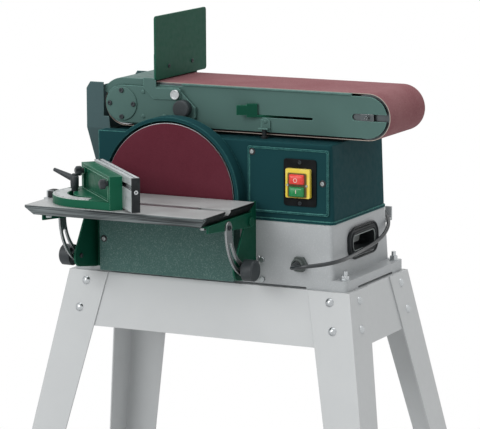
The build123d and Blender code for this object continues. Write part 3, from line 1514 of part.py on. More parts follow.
# Trunnion brackets: plates on the base's front that carry the hinge pins and the lock studs
bracket_outer = arm_inner - touch_gap
bracket_inner = bracket_outer - bracket_sheet
with BuildPart() as trunnion_brackets:
    for side in (-1, 1):
        limits = span(side, bracket_inner, bracket_outer)
        with BuildSketch(facing_right(support_x + limits[0])):
            with BuildLine():
                CenterArc((hinge_y, hinge_z), hinge_lobe_r, 0, 360)
                CenterArc((lock_y, lock_z), bracket_foot_r, 0, 360)
                Polyline(
                    (base_front - bracket_strip / 2, deck + bracket_flange_bottom),
                    (base_front, deck + bracket_flange_bottom),
                    (base_front, hinge_z),
                    (base_front - bracket_strip / 2, hinge_z),
                    close=True,
                )
            make_hull()
            strip_top = table_top - bracket_strip_drop
            with Locations((base_front - bracket_strip / 2, (hinge_z - bracket_strip + strip_top) / 2)):
                Rectangle(bracket_strip, strip_top - hinge_z + bracket_strip)
            with Locations((lock_y, lock_z)):
                Circle(knob_stud_r + running_fit, mode=Mode.SUBTRACT)
        extrude(amount=bracket_sheet)
        flange_x = span(side, bracket_outer - bracket_flange, bracket_outer - bracket_sheet / 2)
        flange_x = (support_x + flange_x[0], support_x + flange_x[1])
        flange_z = (deck + bracket_flange_bottom, base_top - bracket_flange_top)
        block(flange_x, (base_front - bracket_sheet, base_front), flange_z)
        pin_end = arm_outer + touch_gap
        for start, end, radius in (
            (bracket_inner, pin_end, hinge_pin_r),
            (pin_end, pin_end + hinge_head, hinge_head_r),
        ):
            pin_ends = [(support_x + side * reach, hinge_y, hinge_z) for reach in (start, end)]
            rod(*pin_ends, radius)


def lock_knob(side):
    """Barrel knob with its stud through the quadrant and the bracket, in the part being built."""
    seat = arm_outer + arm_sheet_table + touch_gap
    stud_end = bracket_inner - knob_stud_end
    stations = (
        (stud_end, seat + knob_neck, knob_stud_r),
        (seat, seat + knob_neck, knob_neck_r),
        (seat + knob_neck, seat + knob_length, knob_r),
    )
    for start, end, radius in stations:
        rod((support_x + side * start, lock_y, lock_z), (support_x + side * end, lock_y, lock_z), radius)


with BuildPart() as lock_knob_left:
    lock_knob(-1)
    chamfer(lock_knob_left.faces().sort_by(Axis.X)[0].edges(), knob_neck / 2)

with BuildPart() as lock_knob_right:
    lock_knob(1)
    chamfer(lock_knob_right.faces().sort_by(Axis.X)[-1].edges(), knob_neck / 2)

# Mitre gauge: bar in the table's slot, head on its pivot at an angle, fence on the head
pivot_x = table_x - mitre_pivot_x
bar_top = table_top - (slot_depth - mitre_bar_height) / 2
bar_z = (bar_top - mitre_bar_height + touch_gap / 2, bar_top)
bar_x = (pivot_x + mitre_bar_ahead - mitre_bar_length, pivot_x + mitre_bar_ahead)
post_x = pivot_x - mitre_slot_r
head_floor = table_top + mitre_lift
head_top = head_floor + mitre_head_thickness
gauge = Plane(
    origin=(pivot_x, slot_y, head_floor),
    x_dir=(cos(radians(mitre_angle)), sin(radians(mitre_angle)), 0),
    z_dir=(0, 0, 1),
)
with BuildPart() as mitre_bar:
    half_bar = slot_width / 2 - touch_gap
    block(bar_x, (slot_y - half_bar, slot_y + half_bar), bar_z)
    rod((pivot_x, slot_y, bar_z[0]), (pivot_x, slot_y, head_top), mitre_pin_r)
    rod((post_x, slot_y, bar_z[0]), (post_x, slot_y, head_floor + mitre_hub_top - mitre_hub_r), lever_post_r)
    index_x = (bar_x[0] + index_block_inset, bar_x[0] + index_block_inset + index_block_length)
    block(index_x, (slot_y - half_bar, slot_y + half_bar), (bar_z[0], table_top + index_block_rise))

face_back = mitre_face - upright_thickness
rest_post_angle = 180 - mitre_angle
arc_first = rest_post_angle - mitre_swing_on - mitre_slot_margin
arc_sweep = mitre_swing_on + mitre_swing_back + 2 * mitre_slot_margin
head_groove = CenterArc((0, 0), mitre_slot_r, arc_first, arc_sweep)
fence_knob_places = (-fence_knob_front, fence_knob_back)
with BuildPart() as mitre_head:
    with BuildSketch(gauge):
        Circle(mitre_head_r)
        with Locations((mitre_face + mitre_head_r, 0)):
            Rectangle(2 * mitre_head_r, 3 * mitre_head_r, mode=Mode.SUBTRACT)
        Circle(mitre_pin_r + running_fit, mode=Mode.SUBTRACT)
        SlotArc(head_groove, mitre_slot_width, mode=Mode.SUBTRACT)
    extrude(amount=mitre_head_thickness)
    for lengths in ((-upright_front, -mitre_pin_r * 2), (mitre_pin_r * 2, upright_back)):
        block((face_back, mitre_face), lengths, (0, upright_height), plane=gauge)
    upright_y = (-upright_front, upright_back)
    block((face_back, mitre_face), upright_y, (mitre_head_thickness, upright_height), plane=gauge)
    pocket_x = (face_back - upright_pocket, face_back + upright_pocket)
    pocket_y = (upright_border - upright_front, upright_back - upright_border)
    pocket_z = (mitre_head_thickness, upright_height - upright_border / 2)
    block(pocket_x, pocket_y, pocket_z, Mode.SUBTRACT, gauge)
    for y in fence_knob_places:
        boss_end = face_back + upright_pocket
        rod((face_back, y, fence_slot_rise), (boss_end, y, fence_slot_rise), 2 * fence_stud_r, plane=gauge)
        rod(
            (2 * face_back, y, fence_slot_rise),
            (2 * mitre_face, y, fence_slot_rise),
            fence_stud_r + running_fit,
            Mode.SUBTRACT,
            gauge,
        )

with BuildPart() as mitre_lever:
    hub_low = head_top + touch_gap
    hub_high = head_floor + mitre_hub_top
    rod((post_x, slot_y, hub_low), (post_x, slot_y, hub_high), mitre_hub_r)
    handle_start = (post_x, slot_y, head_floor + mitre_handle_start)
    handle_end = (post_x - mitre_handle_length, slot_y, head_floor + mitre_handle_end)
    rod(handle_start, handle_end, mitre_handle_r)
    with Locations(handle_end):
        Sphere(mitre_handle_r)
    post_top = head_floor + mitre_hub_top - mitre_hub_r
    rod((post_x, slot_y, hub_low), (post_x, slot_y, post_top), lever_post_r + running_fit, Mode.SUBTRACT)

fence_y = (-fence_front, fence_back)
with BuildPart() as fence:
    fence_x = (mitre_face, mitre_face + fence_thickness)
    block(fence_x, fence_y, (fence_lift, fence_height), plane=gauge)
    neck_x = (mitre_face, mitre_face + fence_slot_neck)
    neck_z = (fence_slot_rise - fence_slot_mouth / 2, fence_slot_rise + fence_slot_mouth / 2)
    block(neck_x, fence_y, neck_z, Mode.SUBTRACT, gauge)
    well_x = (mitre_face + fence_slot_neck, mitre_face + fence_slot_depth)
    well_z = (fence_slot_rise - fence_slot_width / 2, fence_slot_rise + fence_slot_width / 2)
    block(well_x, fence_y, well_z, Mode.SUBTRACT, gauge)
    groove_middle = mitre_face + fence_thickness / 2
    groove_x = (groove_middle - fence_groove_width / 2, groove_middle + fence_groove_width / 2)
    groove_z = (fence_height - fence_groove_depth, fence_height + fence_groove_depth)
    block(groove_x, fence_y, groove_z, Mode.SUBTRACT, gauge)

with BuildPart() as fence_end_caps:
    for cap_y in ((-fence_front - fence_cap, -fence_front), (fence_back, fence_back + fence_cap)):
        block(fence_x, cap_y, (fence_lift, fence_height), plane=gauge)


def fence_knob(y):
    """Three-lobed knob behind the upright, with its stud into the fence's slot, in the part being built."""
    back = face_back - touch_gap
    knob_plane = Plane(
        origin=gauge.from_local_coords(Vector(back, y, fence_slot_rise)),
        x_dir=gauge.y_dir,
        z_dir=gauge.x_dir,
    )
    with BuildSketch(knob_plane) as lobes:
        Circle(fence_knob_pitch)
        with PolarLocations(fence_knob_pitch, 3):
            Circle(fence_knob_lobe)
    extrude(lobes.sketch, amount=-fence_knob_length)
    stud_end = mitre_face + fence_slot_neck
    rod((back, y, fence_slot_rise), (stud_end, y, fence_slot_rise), fence_stud_r, plane=gauge)


with BuildPart() as fence_knob_left:
    fence_knob(fence_knob_back)

with BuildPart() as fence_knob_right:
    fence_knob(-fence_knob_front)

# Mains lead: out of the gland, round the base's right end, over the rear hook and down to the floor
coil_x = -20.0
coil_y = 133.0
lead_rises = [
    (gland_x, gland_end, gland_rise),
    (gland_x, gland_end - 22, gland_rise),
    (194.5, -177.5, 47),
    (212, -187, 52),
    (231.5, -186, 55),
    (251, -172.5, 57),
    (264, -150, 58.5),
    (268, -119, 59),
    (263.5, -81, 58),
    (259, -42, 58),
    (256.5, 0, 59),
    (256.5, 38, 62.5),
    (257, 73, 70),
    (253, 105, 84),
    (238, 128, 98.5),
    (213, 138, 108),
    (182.5, 141, 107.5),
    (161, 146, 87),
    (153.5, 155.5, 54),
    (152, 165, 8),
    (152, 171, -52),
    (153, 175, -135),
    (154, 179, -235),
    (153, 180, -320),
    (150, 180.5, -405),
    (143, 181, -480),
    (126, 180.5, -540),
    (98, 179, -578),
    (62, 177.5, -593),
]
lead_points = [Vector(x, y, deck + rise) for x, y, rise in lead_rises]
lead_points.append(Vector(coil_x + 46, coil_y + coil_r, cord_floor))
lead_points.append(Vector(coil_x + 2 * cord_r, coil_y + coil_r, cord_floor))
lead_radii = []
for before, corner, after in zip(lead_points, lead_points[1:], lead_points[2:]):
    turn = radians((corner - before).get_angle(after - corner))
    shorter = min((corner - before).length, (after - corner).length)
    lead_radii.append(0.45 * shorter / tan(turn / 2))
print("lead radii", [round(radius) for radius in lead_radii])

with BuildPart() as power_cord:
    with BuildLine() as lead_path:
        FilletPolyline(*lead_points, radius=lead_radii)
    with BuildSketch(Plane(origin=lead_path.wire() @ 0, z_dir=lead_path.wire() % 0)):
        Circle(cord_r)
    sweep()
lead_volume = pi * cord_r**2 * lead_path.wire().length
lead_ratio = power_cord.part.volume / lead_volume
print("lead length", round(lead_path.wire().length), "volume ratio", round(lead_ratio, 4))

# Coil of the spare length on the floor: in along the lower layer, up, and out along the upper one
coil_sweep = 2 * coil_turns
quarter_steps = round(coil_sweep * coil_steps)


def coil_place(turns):
    """Centre of the lead at a number of turns from the coil's start."""
    half = coil_sweep / 2
    radius = coil_r - coil_pitch * (half - abs(turns - half))
    climb = min(max(2 * (turns - half) + 0.5, 0), 1)
    smooth = climb * climb * (3 - 2 * climb)
    angle = pi / 2 + 2 * pi * turns
    height = cord_floor + coil_layer * smooth
    return Vector(coil_x + radius * cos(angle), coil_y + radius * sin(angle), height)


def coil_heading(turns):
    """Direction of the lead at a number of turns from the coil's start."""
    small = 0.001
    return (coil_place(turns + small) - coil_place(turns - small)).normalized()


with BuildPart() as cord_coil:
    with BuildLine() as coil_path:
        stations = [number / coil_steps for number in range(quarter_steps + 1)]
        places = [coil_place(turns) for turns in stations]
        headings = [coil_heading(turns) for turns in stations]
        headings[0] = Vector(-1, 0, 0)
        headings[-1] = Vector(-1, 0, 0)
        Line(places[0] + Vector(2 * cord_r, 0, 0), places[0])
        for number in range(quarter_steps):
            biarc(places[number], headings[number], places[number + 1], headings[number + 1])
        Line(places[-1], places[-1] - Vector(coil_tail, 0, 0))
    with BuildSketch(Plane(origin=coil_path.wire() @ 0, z_dir=coil_path.wire() % 0)):
        Circle(cord_r)
    sweep()
coil_volume = pi * cord_r**2 * coil_path.wire().length
coil_ratio = cord_coil.part.volume / coil_volume
print("coil length", round(coil_path.wire().length), "volume ratio", round(coil_ratio, 4))
print("coil self gap", round(least_self_gap(coil_path.wire(), cord_r, 600, pi * coil_r / 2), 2))

# Plug on the coil's end, on its back on the floor with its three pins up
with BuildPart() as cord_plug:
    plug_start = coil_path.wire() @ 1
    plug_face = plug_start.X - plug_relief
    rod(
        (plug_start.X, plug_start.Y, plug_start.Z),
        (plug_face - plug_relief / 4, plug_start.Y, plug_start.Z),
        plug_relief_r,
    )
    chamfer(cord_plug.faces().sort_by(Axis.X)[-1].edges(), plug_relief / 2, plug_relief_r / 3)
    with BuildSketch(level(plug_start.Z - plug_thickness / 2)):
        plug_x = (plug_face - plug_length, plug_face)
        rounded(plug_x, (plug_start.Y - plug_width / 2, plug_start.Y + plug_width / 2), plug_width / 4)
    extrude(amount=plug_thickness)
    plug_top = plug_start.Z + plug_thickness / 2
    live_x = plug_face - plug_length / 4
    earth_x = plug_face - 3 * plug_length / 4
    for x, y, width in (
        (live_x, -plug_pin_spread / 2, plug_live_width),
        (live_x, plug_pin_spread / 2, plug_live_width),
        (earth_x, 0, plug_earth_width),
    ):
        pin_y = (plug_start.Y + y - width / 2, plug_start.Y + y + width / 2)
        pin_x = (x - plug_pin_thickness / 2, x + plug_pin_thickness / 2)
        block(pin_x, pin_y, (plug_top, plug_top + plug_pin_length))

pieces = {
    "stand_legs": stand_legs,
    "stand_rails": stand_rails,
    "stand_bolts": stand_bolts,
    "rubber_feet": rubber_feet,
    "base_casting": base_casting,
    "carry_handles": carry_handles,
    "cable_gland": cable_gland,
    "power_cord": power_cord,
    "cord_coil": cord_coil,
    "cord_plug": cord_plug,
    "motor_housing": motor_housing,
    "disc_housing": disc_housing,
    "disc_lower_cover": disc_lower_cover,
    "cover_screws": cover_screws,
    "switch_panel": switch_panel,
    "switch_plate": switch_plate,
    "switch_body": switch_body,
    "stop_button": stop_button,
    "start_button": start_button,
    "motor_body": motor_body,
    "motor_rotor": motor_rotor,
    "motor_pulley": motor_pulley,
    "drum_pulley": drum_pulley,
    "drive_belt": drive_belt,
    "drive_cover": drive_cover,
    "disc_plate": disc_plate,
    "abrasive_disc": abrasive_disc,
    "arm_bracket": arm_bracket,
    "drive_drum": drive_drum,
    "drum_bearings": drum_bearings,
    "arm_front_plate": arm_front_plate,
    "arm_rear_plate": arm_rear_plate,
    "platen": platen,
    "end_plate": end_plate,
    "drum_cover": drum_cover,
    "arm_fasteners": arm_fasteners,
    "idler_drum": idler_drum,
    "idler_axle": idler_axle,
    "tension_spring": tension_spring,
    "tension_lever": tension_lever,
    "sanding_belt": sanding_belt,
    "tracking_knob": tracking_knob,
    "belt_guard": belt_guard,
    "work_stop": work_stop,
    "stop_bracket": stop_bracket,
    "arm_rest": arm_rest,
    "dust_hood": dust_hood,
    "table": table,
    "table_arms": table_arms,
    "tilt_quadrants": tilt_quadrants,
    "trunnion_brackets": trunnion_brackets,
    "lock_knob_left": lock_knob_left,
    "lock_knob_right": lock_knob_right,
    "mitre_bar": mitre_bar,
    "mitre_head": mitre_head,
    "mitre_lever": mitre_lever,
    "fence": fence,
    "fence_end_caps": fence_end_caps,
    "fence_knob_left": fence_knob_left,
    "fence_knob_right": fence_knob_right,
}

os.makedirs("parts", exist_ok=True)
for label, piece in pieces.items():
    piece.part.label = label
    export_step(piece.part, f"parts/{label}.step")
print("pieces", len(pieces))
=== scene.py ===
"""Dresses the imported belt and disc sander: finishes, small fittings, mains lead, studio light and camera."""
import json
import logging
import math
from collections.abc import Sequence
from dataclasses import dataclass, field, replace
from enum import Enum
from typing import Any

import bmesh
import bpy
from mathutils import Matrix, Vector

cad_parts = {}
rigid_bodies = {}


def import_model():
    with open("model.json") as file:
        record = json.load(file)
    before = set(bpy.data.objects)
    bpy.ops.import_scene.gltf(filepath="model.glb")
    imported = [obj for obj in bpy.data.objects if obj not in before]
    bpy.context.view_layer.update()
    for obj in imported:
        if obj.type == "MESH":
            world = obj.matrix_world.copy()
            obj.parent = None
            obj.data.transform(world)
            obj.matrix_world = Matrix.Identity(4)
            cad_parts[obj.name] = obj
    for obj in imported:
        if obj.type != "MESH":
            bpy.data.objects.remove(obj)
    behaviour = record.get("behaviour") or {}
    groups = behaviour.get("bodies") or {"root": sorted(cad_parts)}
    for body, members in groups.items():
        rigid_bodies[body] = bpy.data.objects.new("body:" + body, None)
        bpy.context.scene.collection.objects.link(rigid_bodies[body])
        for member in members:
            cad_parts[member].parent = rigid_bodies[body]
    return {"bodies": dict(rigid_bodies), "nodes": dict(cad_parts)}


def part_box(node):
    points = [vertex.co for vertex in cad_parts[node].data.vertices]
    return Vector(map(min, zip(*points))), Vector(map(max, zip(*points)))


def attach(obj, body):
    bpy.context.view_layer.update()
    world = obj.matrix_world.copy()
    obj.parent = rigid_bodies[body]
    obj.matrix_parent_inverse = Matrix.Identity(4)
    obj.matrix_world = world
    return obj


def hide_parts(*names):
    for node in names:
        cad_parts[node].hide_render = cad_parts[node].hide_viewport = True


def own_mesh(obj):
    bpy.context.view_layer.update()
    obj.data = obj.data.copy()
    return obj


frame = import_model()

log = logging.getLogger("sander")

Flat = tuple[float, float]
Point = tuple[float, float, float]
Place = tuple[Point, Matrix]
Tree = bpy.types.NodeTree
Socket = bpy.types.NodeSocket
Material = bpy.types.Material
Mesh = bpy.types.Mesh
Piece = bpy.types.Object
Solid = bmesh.types.BMesh

MM = 0.001
WHITE = (1.0, 1.0, 1.0, 1.0)
SHARP_DEG = 35.0
NEARLY_UPRIGHT = 0.99

# Cosine between the rounded and the true normal, at a sharp edge and on a flat
EDGE_LEAN = (0.86, 0.985)
EDGE_SAMPLES = 6

# Values of the noise between which patches change: softly, or over nearly all of it
SOFTLY = (0.3, 0.7)
WIDELY = (0.2, 0.8)

# Span of a pattern from none to full
FULL = (0.0, 1.0)

# Node settings that several finishes share
COLOURS = {"data_type": "RGBA"}
SOFT_LIGHT = {"data_type": "RGBA", "blend_type": "SOFT_LIGHT"}
SMOOTH = {"interpolation_type": "SMOOTHSTEP"}
TIMES = {"operation": "MULTIPLY"}
LARGER = {"operation": "MAXIMUM"}
LENGTH = {"operation": "LENGTH"}

# Numbers of the Mix node's sockets, because several have the same name: for colours, then for vectors
SHARE = 0
UNDER = 6
OVER = 7
MIXED = 2
UNDER_VECTOR = 4
OVER_VECTOR = 5
MIXED_VECTOR = 1

# Numbers of the Random Value node's sockets for a plain number
LEAST = 2
MOST = 3
DRAWN = 1


def linear(code: str) -> tuple[float, float, float, float]:
    """Linear colour of an sRGB hex code.

    Args:
        code: a hash and six hex digits.

    Returns:
        Red, green, blue and alpha.
    """
    values = [int(code[start:start + 2], 16) / 255 for start in (1, 3, 5)]
    red, green, blue = (v / 12.92 if v <= 0.04045 else ((v + 0.055) / 1.055) ** 2.4 for v in values)
    return red, green, blue, 1.0


def per_metre(size_mm: float) -> float:
    """Texture scale at which one cell of a pattern is that many millimetres."""
    return 1.0 / (size_mm * MM)


def add_node(
    tree: Tree, kind: str, settings: dict[str, Any] | None = None, inputs: dict[str | int, Any] | None = None
) -> bpy.types.Node:
    """Adds a node, sets its properties and fills or links its sockets.

    Args:
        tree: the tree that gets the node.
        kind: the node's type name.
        settings: properties of the node.
        inputs: socket name or number, with a value or the output that is linked to it.

    Returns:
        The new node.
    """
    node = tree.nodes.new(kind)
    for name, value in (settings or {}).items():
        setattr(node, name, value)
    for name, value in (inputs or {}).items():
        if isinstance(value, Socket):
            tree.links.new(value, node.inputs[name])
        else:
            node.inputs[name].default_value = value
    return node


def fresh_tree(holder: Material | bpy.types.World) -> Tree:
    """Empties the node tree of a material or a world.

    Args:
        holder: the material or the world.

    Returns:
        Its tree.
    """
    holder.use_nodes = True
    holder.node_tree.nodes.clear()
    return holder.node_tree


def put(name: str, data: bpy.types.ID) -> Piece:
    """Puts a mesh, curve, lamp or camera into the scene.

    Args:
        name: the object's name.
        data: what it shows.

    Returns:
        The new object.
    """
    item = bpy.data.objects.new(name, data)
    bpy.context.scene.collection.objects.link(item)
    return item


def blotches(
    tree: Tree, place: Socket, size_mm: float, window: Flat, span: Flat, detail: float = 4.0
) -> Socket:
    """Uneven patches of a real size.

    Args:
        tree: the material's tree.
        place: the coordinates that they are drawn in.
        size_mm: size of one patch.
        window: values of the noise between which the patches change.
        span: what they change from and to.
        detail: how many finer layers the noise has.

    Returns:
        The patches' value.
    """
    inputs = {"Vector": place, "Scale": per_metre(size_mm), "Detail": detail}
    noise = add_node(tree, "ShaderNodeTexNoise", None, inputs).outputs["Fac"]
    ends = {"From Min": window[0], "From Max": window[1], "To Min": span[0], "To Max": span[1]}
    return add_node(tree, "ShaderNodeMapRange", SMOOTH, {"Value": noise, **ends}).outputs["Result"]


class Slot(Enum):
    """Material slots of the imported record."""

    STAND_GREY = "stand_grey"
    BASE_GREY = "base_grey"
    DEEP_GREEN = "deep_green"
    ARM_GREEN = "arm_green"
    BRACKET_GREEN = "bracket_green"
    COVER_GREEN = "cover_green"
    BRIGHT_ZINC = "bright_zinc"
    STEEL = "steel"
    BLACK_PLASTIC = "black_plastic"
    KNOB_PLASTIC = "knob_plastic"
    FOOT_RUBBER = "foot_rubber"
    CORD_SHEATH = "cord_sheath"
    BELT_RUBBER = "belt_rubber"
    PLUG_PLASTIC = "plug_plastic"
    SWITCH_YELLOW = "switch_yellow"
    STOP_RED = "stop_red"
    START_GREEN = "start_green"
    ABRASIVE_CLOTH = "abrasive_cloth"
    DISC_METAL = "disc_metal"
    TABLE_IRON = "table_iron"
    MOTOR_PAINT = "motor_paint"
    FENCE_METAL = "fence_metal"
    GRAPHITE_STEEL = "graphite_steel"


@dataclass(frozen=True)
class Finish:
    """What the finishes share: a name, a colour, soft edges and one principled shader."""

    name: str
    colour: str
    edge_mm: float = 0.7

    def build(self) -> Material:
        """Makes the material.

        Returns:
            The material, with the finish's nodes.
        """
        material = bpy.data.materials.new(self.name)
        tree = fresh_tree(material)
        place = add_node(tree, "ShaderNodeTexCoord").outputs["Object"]
        shader = add_node(tree, "ShaderNodeBsdfPrincipled", None, self.surface(tree, place))
        add_node(tree, "ShaderNodeOutputMaterial", None, {"Surface": shader.outputs["BSDF"]})
        return material

    def edges(self, tree: Tree, most: float) -> tuple[Socket, Socket]:
        """Rounds the edges for the light, and finds them.

        Args:
            tree: the material's tree.
            most: the share at a sharp edge.

        Returns:
            The rounded normal, and a share that is 0 on flats.
        """
        size = {"Radius": self.edge_mm * MM}
        normal = add_node(tree, "ShaderNodeBevel", {"samples": EDGE_SAMPLES}, size).outputs["Normal"]
        pair = {0: normal, 1: add_node(tree, "ShaderNodeNewGeometry").outputs["Normal"]}
        lean = add_node(tree, "ShaderNodeVectorMath", {"operation": "DOT_PRODUCT"}, pair).outputs["Value"]
        # The share lets the finishes paint sharp edges paler: a painted highlight, with wear where a finish
        # says so
        ends = {"From Min": EDGE_LEAN[0], "From Max": EDGE_LEAN[1], "To Min": most, "To Max": 0.0}
        found = add_node(tree, "ShaderNodeMapRange", SMOOTH, {"Value": lean, **ends})
        return normal, found.outputs["Result"]

    def surface(self, tree: Tree, place: Socket) -> dict[str, Any]:
        """Inputs of the shader.

        Args:
            tree: the material's tree.
            place: the object coordinates.

        Returns:
            Values and sockets by the shader's input names.
        """
        raise NotImplementedError


@dataclass(frozen=True)
class Enamel(Finish):
    """Sprayed enamel on folded sheet: soft gloss, faint orange peel and edges painted paler as a highlight and
    wear.
    """

    worn_and_highlight_edge: str = "#9aa8a4"
    edge_wear_and_highlight: float = 0.6
    roughness: float = 0.4
    peel_mm: float = 2.2
    peel_depth_mm: float = 0.05
    scuff_mm: float = 9.0
    cloud_mm: float = 85.0
    cloud: float = 0.1
    gloss: float = 0.5
    bump: float = 0.5
    scuff_window: Flat = (0.35, 0.65)
    scuff_span: Flat = (0.55, 1.0)
    dull_window: Flat = (0.3, 0.75)
    dulling: Flat = (-0.05, 0.07)

    def surface(self, tree: Tree, place: Socket) -> dict[str, Any]:
        """Inputs of the shader: clouded paint with edges painted paler as highlight and wear, and orange peel.

        Args:
            tree: the material's tree.
            place: the object coordinates.

        Returns:
            Values and sockets by the shader's input names.
        """
        normal, edge = self.edges(tree, self.edge_wear_and_highlight)
        cloud = blotches(tree, place, self.cloud_mm, SOFTLY, (0.0, self.cloud))
        shades = {SHARE: cloud, UNDER: linear(self.colour), OVER: WHITE}
        tone = add_node(tree, "ShaderNodeMix", SOFT_LIGHT, shades).outputs[MIXED]
        scuffs = blotches(tree, place, self.scuff_mm, self.scuff_window, self.scuff_span, detail=5.0)
        # Sharp edges, broken up by scuffs, take the paler edge colour: a painted highlight as well as wear
        worn = add_node(tree, "ShaderNodeMath", TIMES, {0: edge, 1: scuffs}).outputs["Value"]
        coats = {SHARE: worn, UNDER: tone, OVER: linear(self.worn_and_highlight_edge)}
        peel = blotches(tree, place, self.peel_mm, WIDELY, FULL, detail=2.0)
        depth = self.peel_depth_mm * MM
        relief = {"Strength": self.bump, "Distance": depth, "Height": peel, "Normal": normal}
        dulling = tuple(self.roughness + change for change in self.dulling)
        return {
            "Base Color": add_node(tree, "ShaderNodeMix", COLOURS, coats).outputs[MIXED],
            "Roughness": blotches(tree, place, self.scuff_mm, self.dull_window, dulling),
            "Normal": add_node(tree, "ShaderNodeBump", None, relief).outputs["Normal"],
            "Specular IOR Level": self.gloss,
        }


@dataclass(frozen=True)
class HammerPaint(Finish):
    """Hammered paint: small flowed cells with paler flecks, which break the gloss into a fine speckle."""

    fleck_and_edge_highlight: str = "#8fa39f"
    fleck_share: float = 0.35
    cell_mm: float = 3.4
    depth_mm: float = 0.12
    roughness: float = 0.45
    cloud_mm: float = 60.0
    cloud: float = 0.08
    edge_wear_and_highlight: float = 0.4
    gloss: float = 0.5
    bump: float = 0.6
    smoothness: float = 0.7
    fleck_window: Flat = (0.5, 0.72)

    def surface(self, tree: Tree, place: Socket) -> dict[str, Any]:
        """Inputs of the shader: flowed cells with paler flecks, and edges painted paler as a highlight.

        Args:
            tree: the material's tree.
            place: the object coordinates.

        Returns:
            Values and sockets by the shader's input names.
        """
        normal, edge = self.edges(tree, self.edge_wear_and_highlight)
        flow = {"Vector": place, "Scale": per_metre(self.cell_mm * 2), "Detail": 2.0}
        warp = add_node(tree, "ShaderNodeTexNoise", None, flow).outputs["Color"]
        shift = {0: warp, 1: (self.cell_mm * MM,) * 3, 2: place}
        flowed = add_node(tree, "ShaderNodeVectorMath", {"operation": "MULTIPLY_ADD"}, shift)
        scale = per_metre(self.cell_mm)
        pattern = {"Vector": flowed.outputs["Vector"], "Scale": scale, "Smoothness": self.smoothness}
        cells = add_node(tree, "ShaderNodeTexVoronoi", {"feature": "SMOOTH_F1"}, pattern).outputs["Distance"]
        paler = (0.0, self.fleck_share)
        flecks = blotches(tree, place, self.cell_mm / 2, self.fleck_window, paler, detail=3.0)
        cloud = blotches(tree, place, self.cloud_mm, SOFTLY, (0.0, self.cloud), detail=3.0)
        fleck_and_edge_highlight = linear(self.fleck_and_edge_highlight)
        grains = {SHARE: flecks, UNDER: linear(self.colour), OVER: fleck_and_edge_highlight}
        tone = add_node(tree, "ShaderNodeMix", COLOURS, grains).outputs[MIXED]
        shades = {SHARE: cloud, UNDER: tone, OVER: WHITE}
        paint = add_node(tree, "ShaderNodeMix", SOFT_LIGHT, shades).outputs[MIXED]
        # Sharp edges take the fleck colour: a painted highlight along the edges
        coats = {SHARE: edge, UNDER: paint, OVER: fleck_and_edge_highlight}
        relief = {"Strength": self.bump, "Distance": self.depth_mm * MM, "Height": cells, "Normal": normal}
        return {
            "Base Color": add_node(tree, "ShaderNodeMix", COLOURS, coats).outputs[MIXED],
            "Roughness": self.roughness,
            "Normal": add_node(tree, "ShaderNodeBump", None, relief).outputs["Normal"],
            "Specular IOR Level": self.gloss,
        }


@dataclass(frozen=True)
class Moulded(Finish):
    """Moulded plastic or rubber: a fine spark-eroded skin, a little dust in the colour, edges painted paler as
    a highlight and no metal gloss.
    """

    dust_and_edge_highlight: str = "#6b7073"
    dust_and_highlight_share: float = 0.12
    dust_mm: float = 22.0
    roughness: float = 0.5
    skin_mm: float = 0.9
    skin_depth_mm: float = 0.04
    gloss: float = 0.5
    bump: float = 0.5
    dust_window: Flat = (0.4, 0.75)
    dulling: Flat = (-0.04, 0.08)

    def surface(self, tree: Tree, place: Socket) -> dict[str, Any]:
        """Inputs of the shader: dusty colour, edges painted paler as a highlight, and a fine skin.

        Args:
            tree: the material's tree.
            place: the object coordinates.

        Returns:
            Values and sockets by the shader's input names.
        """
        normal, edge = self.edges(tree, 2 * self.dust_and_highlight_share)
        skin_grain = blotches(tree, place, self.skin_mm, WIDELY, FULL, detail=3.0)
        dusty = blotches(tree, place, self.dust_mm, self.dust_window, (0.0, self.dust_and_highlight_share))
        # Sharp edges take the dust colour at twice its share: a painted highlight along the edges, not dust
        share = add_node(tree, "ShaderNodeMath", LARGER, {0: dusty, 1: edge}).outputs["Value"]
        layers = {SHARE: share, UNDER: linear(self.colour), OVER: linear(self.dust_and_edge_highlight)}
        depth = self.skin_depth_mm * MM
        relief = {"Strength": self.bump, "Distance": depth, "Height": skin_grain, "Normal": normal}
        dulling = tuple(self.roughness + change for change in self.dulling)
        return {
            "Base Color": add_node(tree, "ShaderNodeMix", COLOURS, layers).outputs[MIXED],
            "Roughness": blotches(tree, place, self.dust_mm, SOFTLY, dulling),
            "Normal": add_node(tree, "ShaderNodeBump", None, relief).outputs["Normal"],
            "Specular IOR Level": self.gloss,
        }


class Lay(Enum):
    """Direction of the tool marks on bare metal."""

    NONE = "none"
    ALONG = "along"
    ROUND = "round"


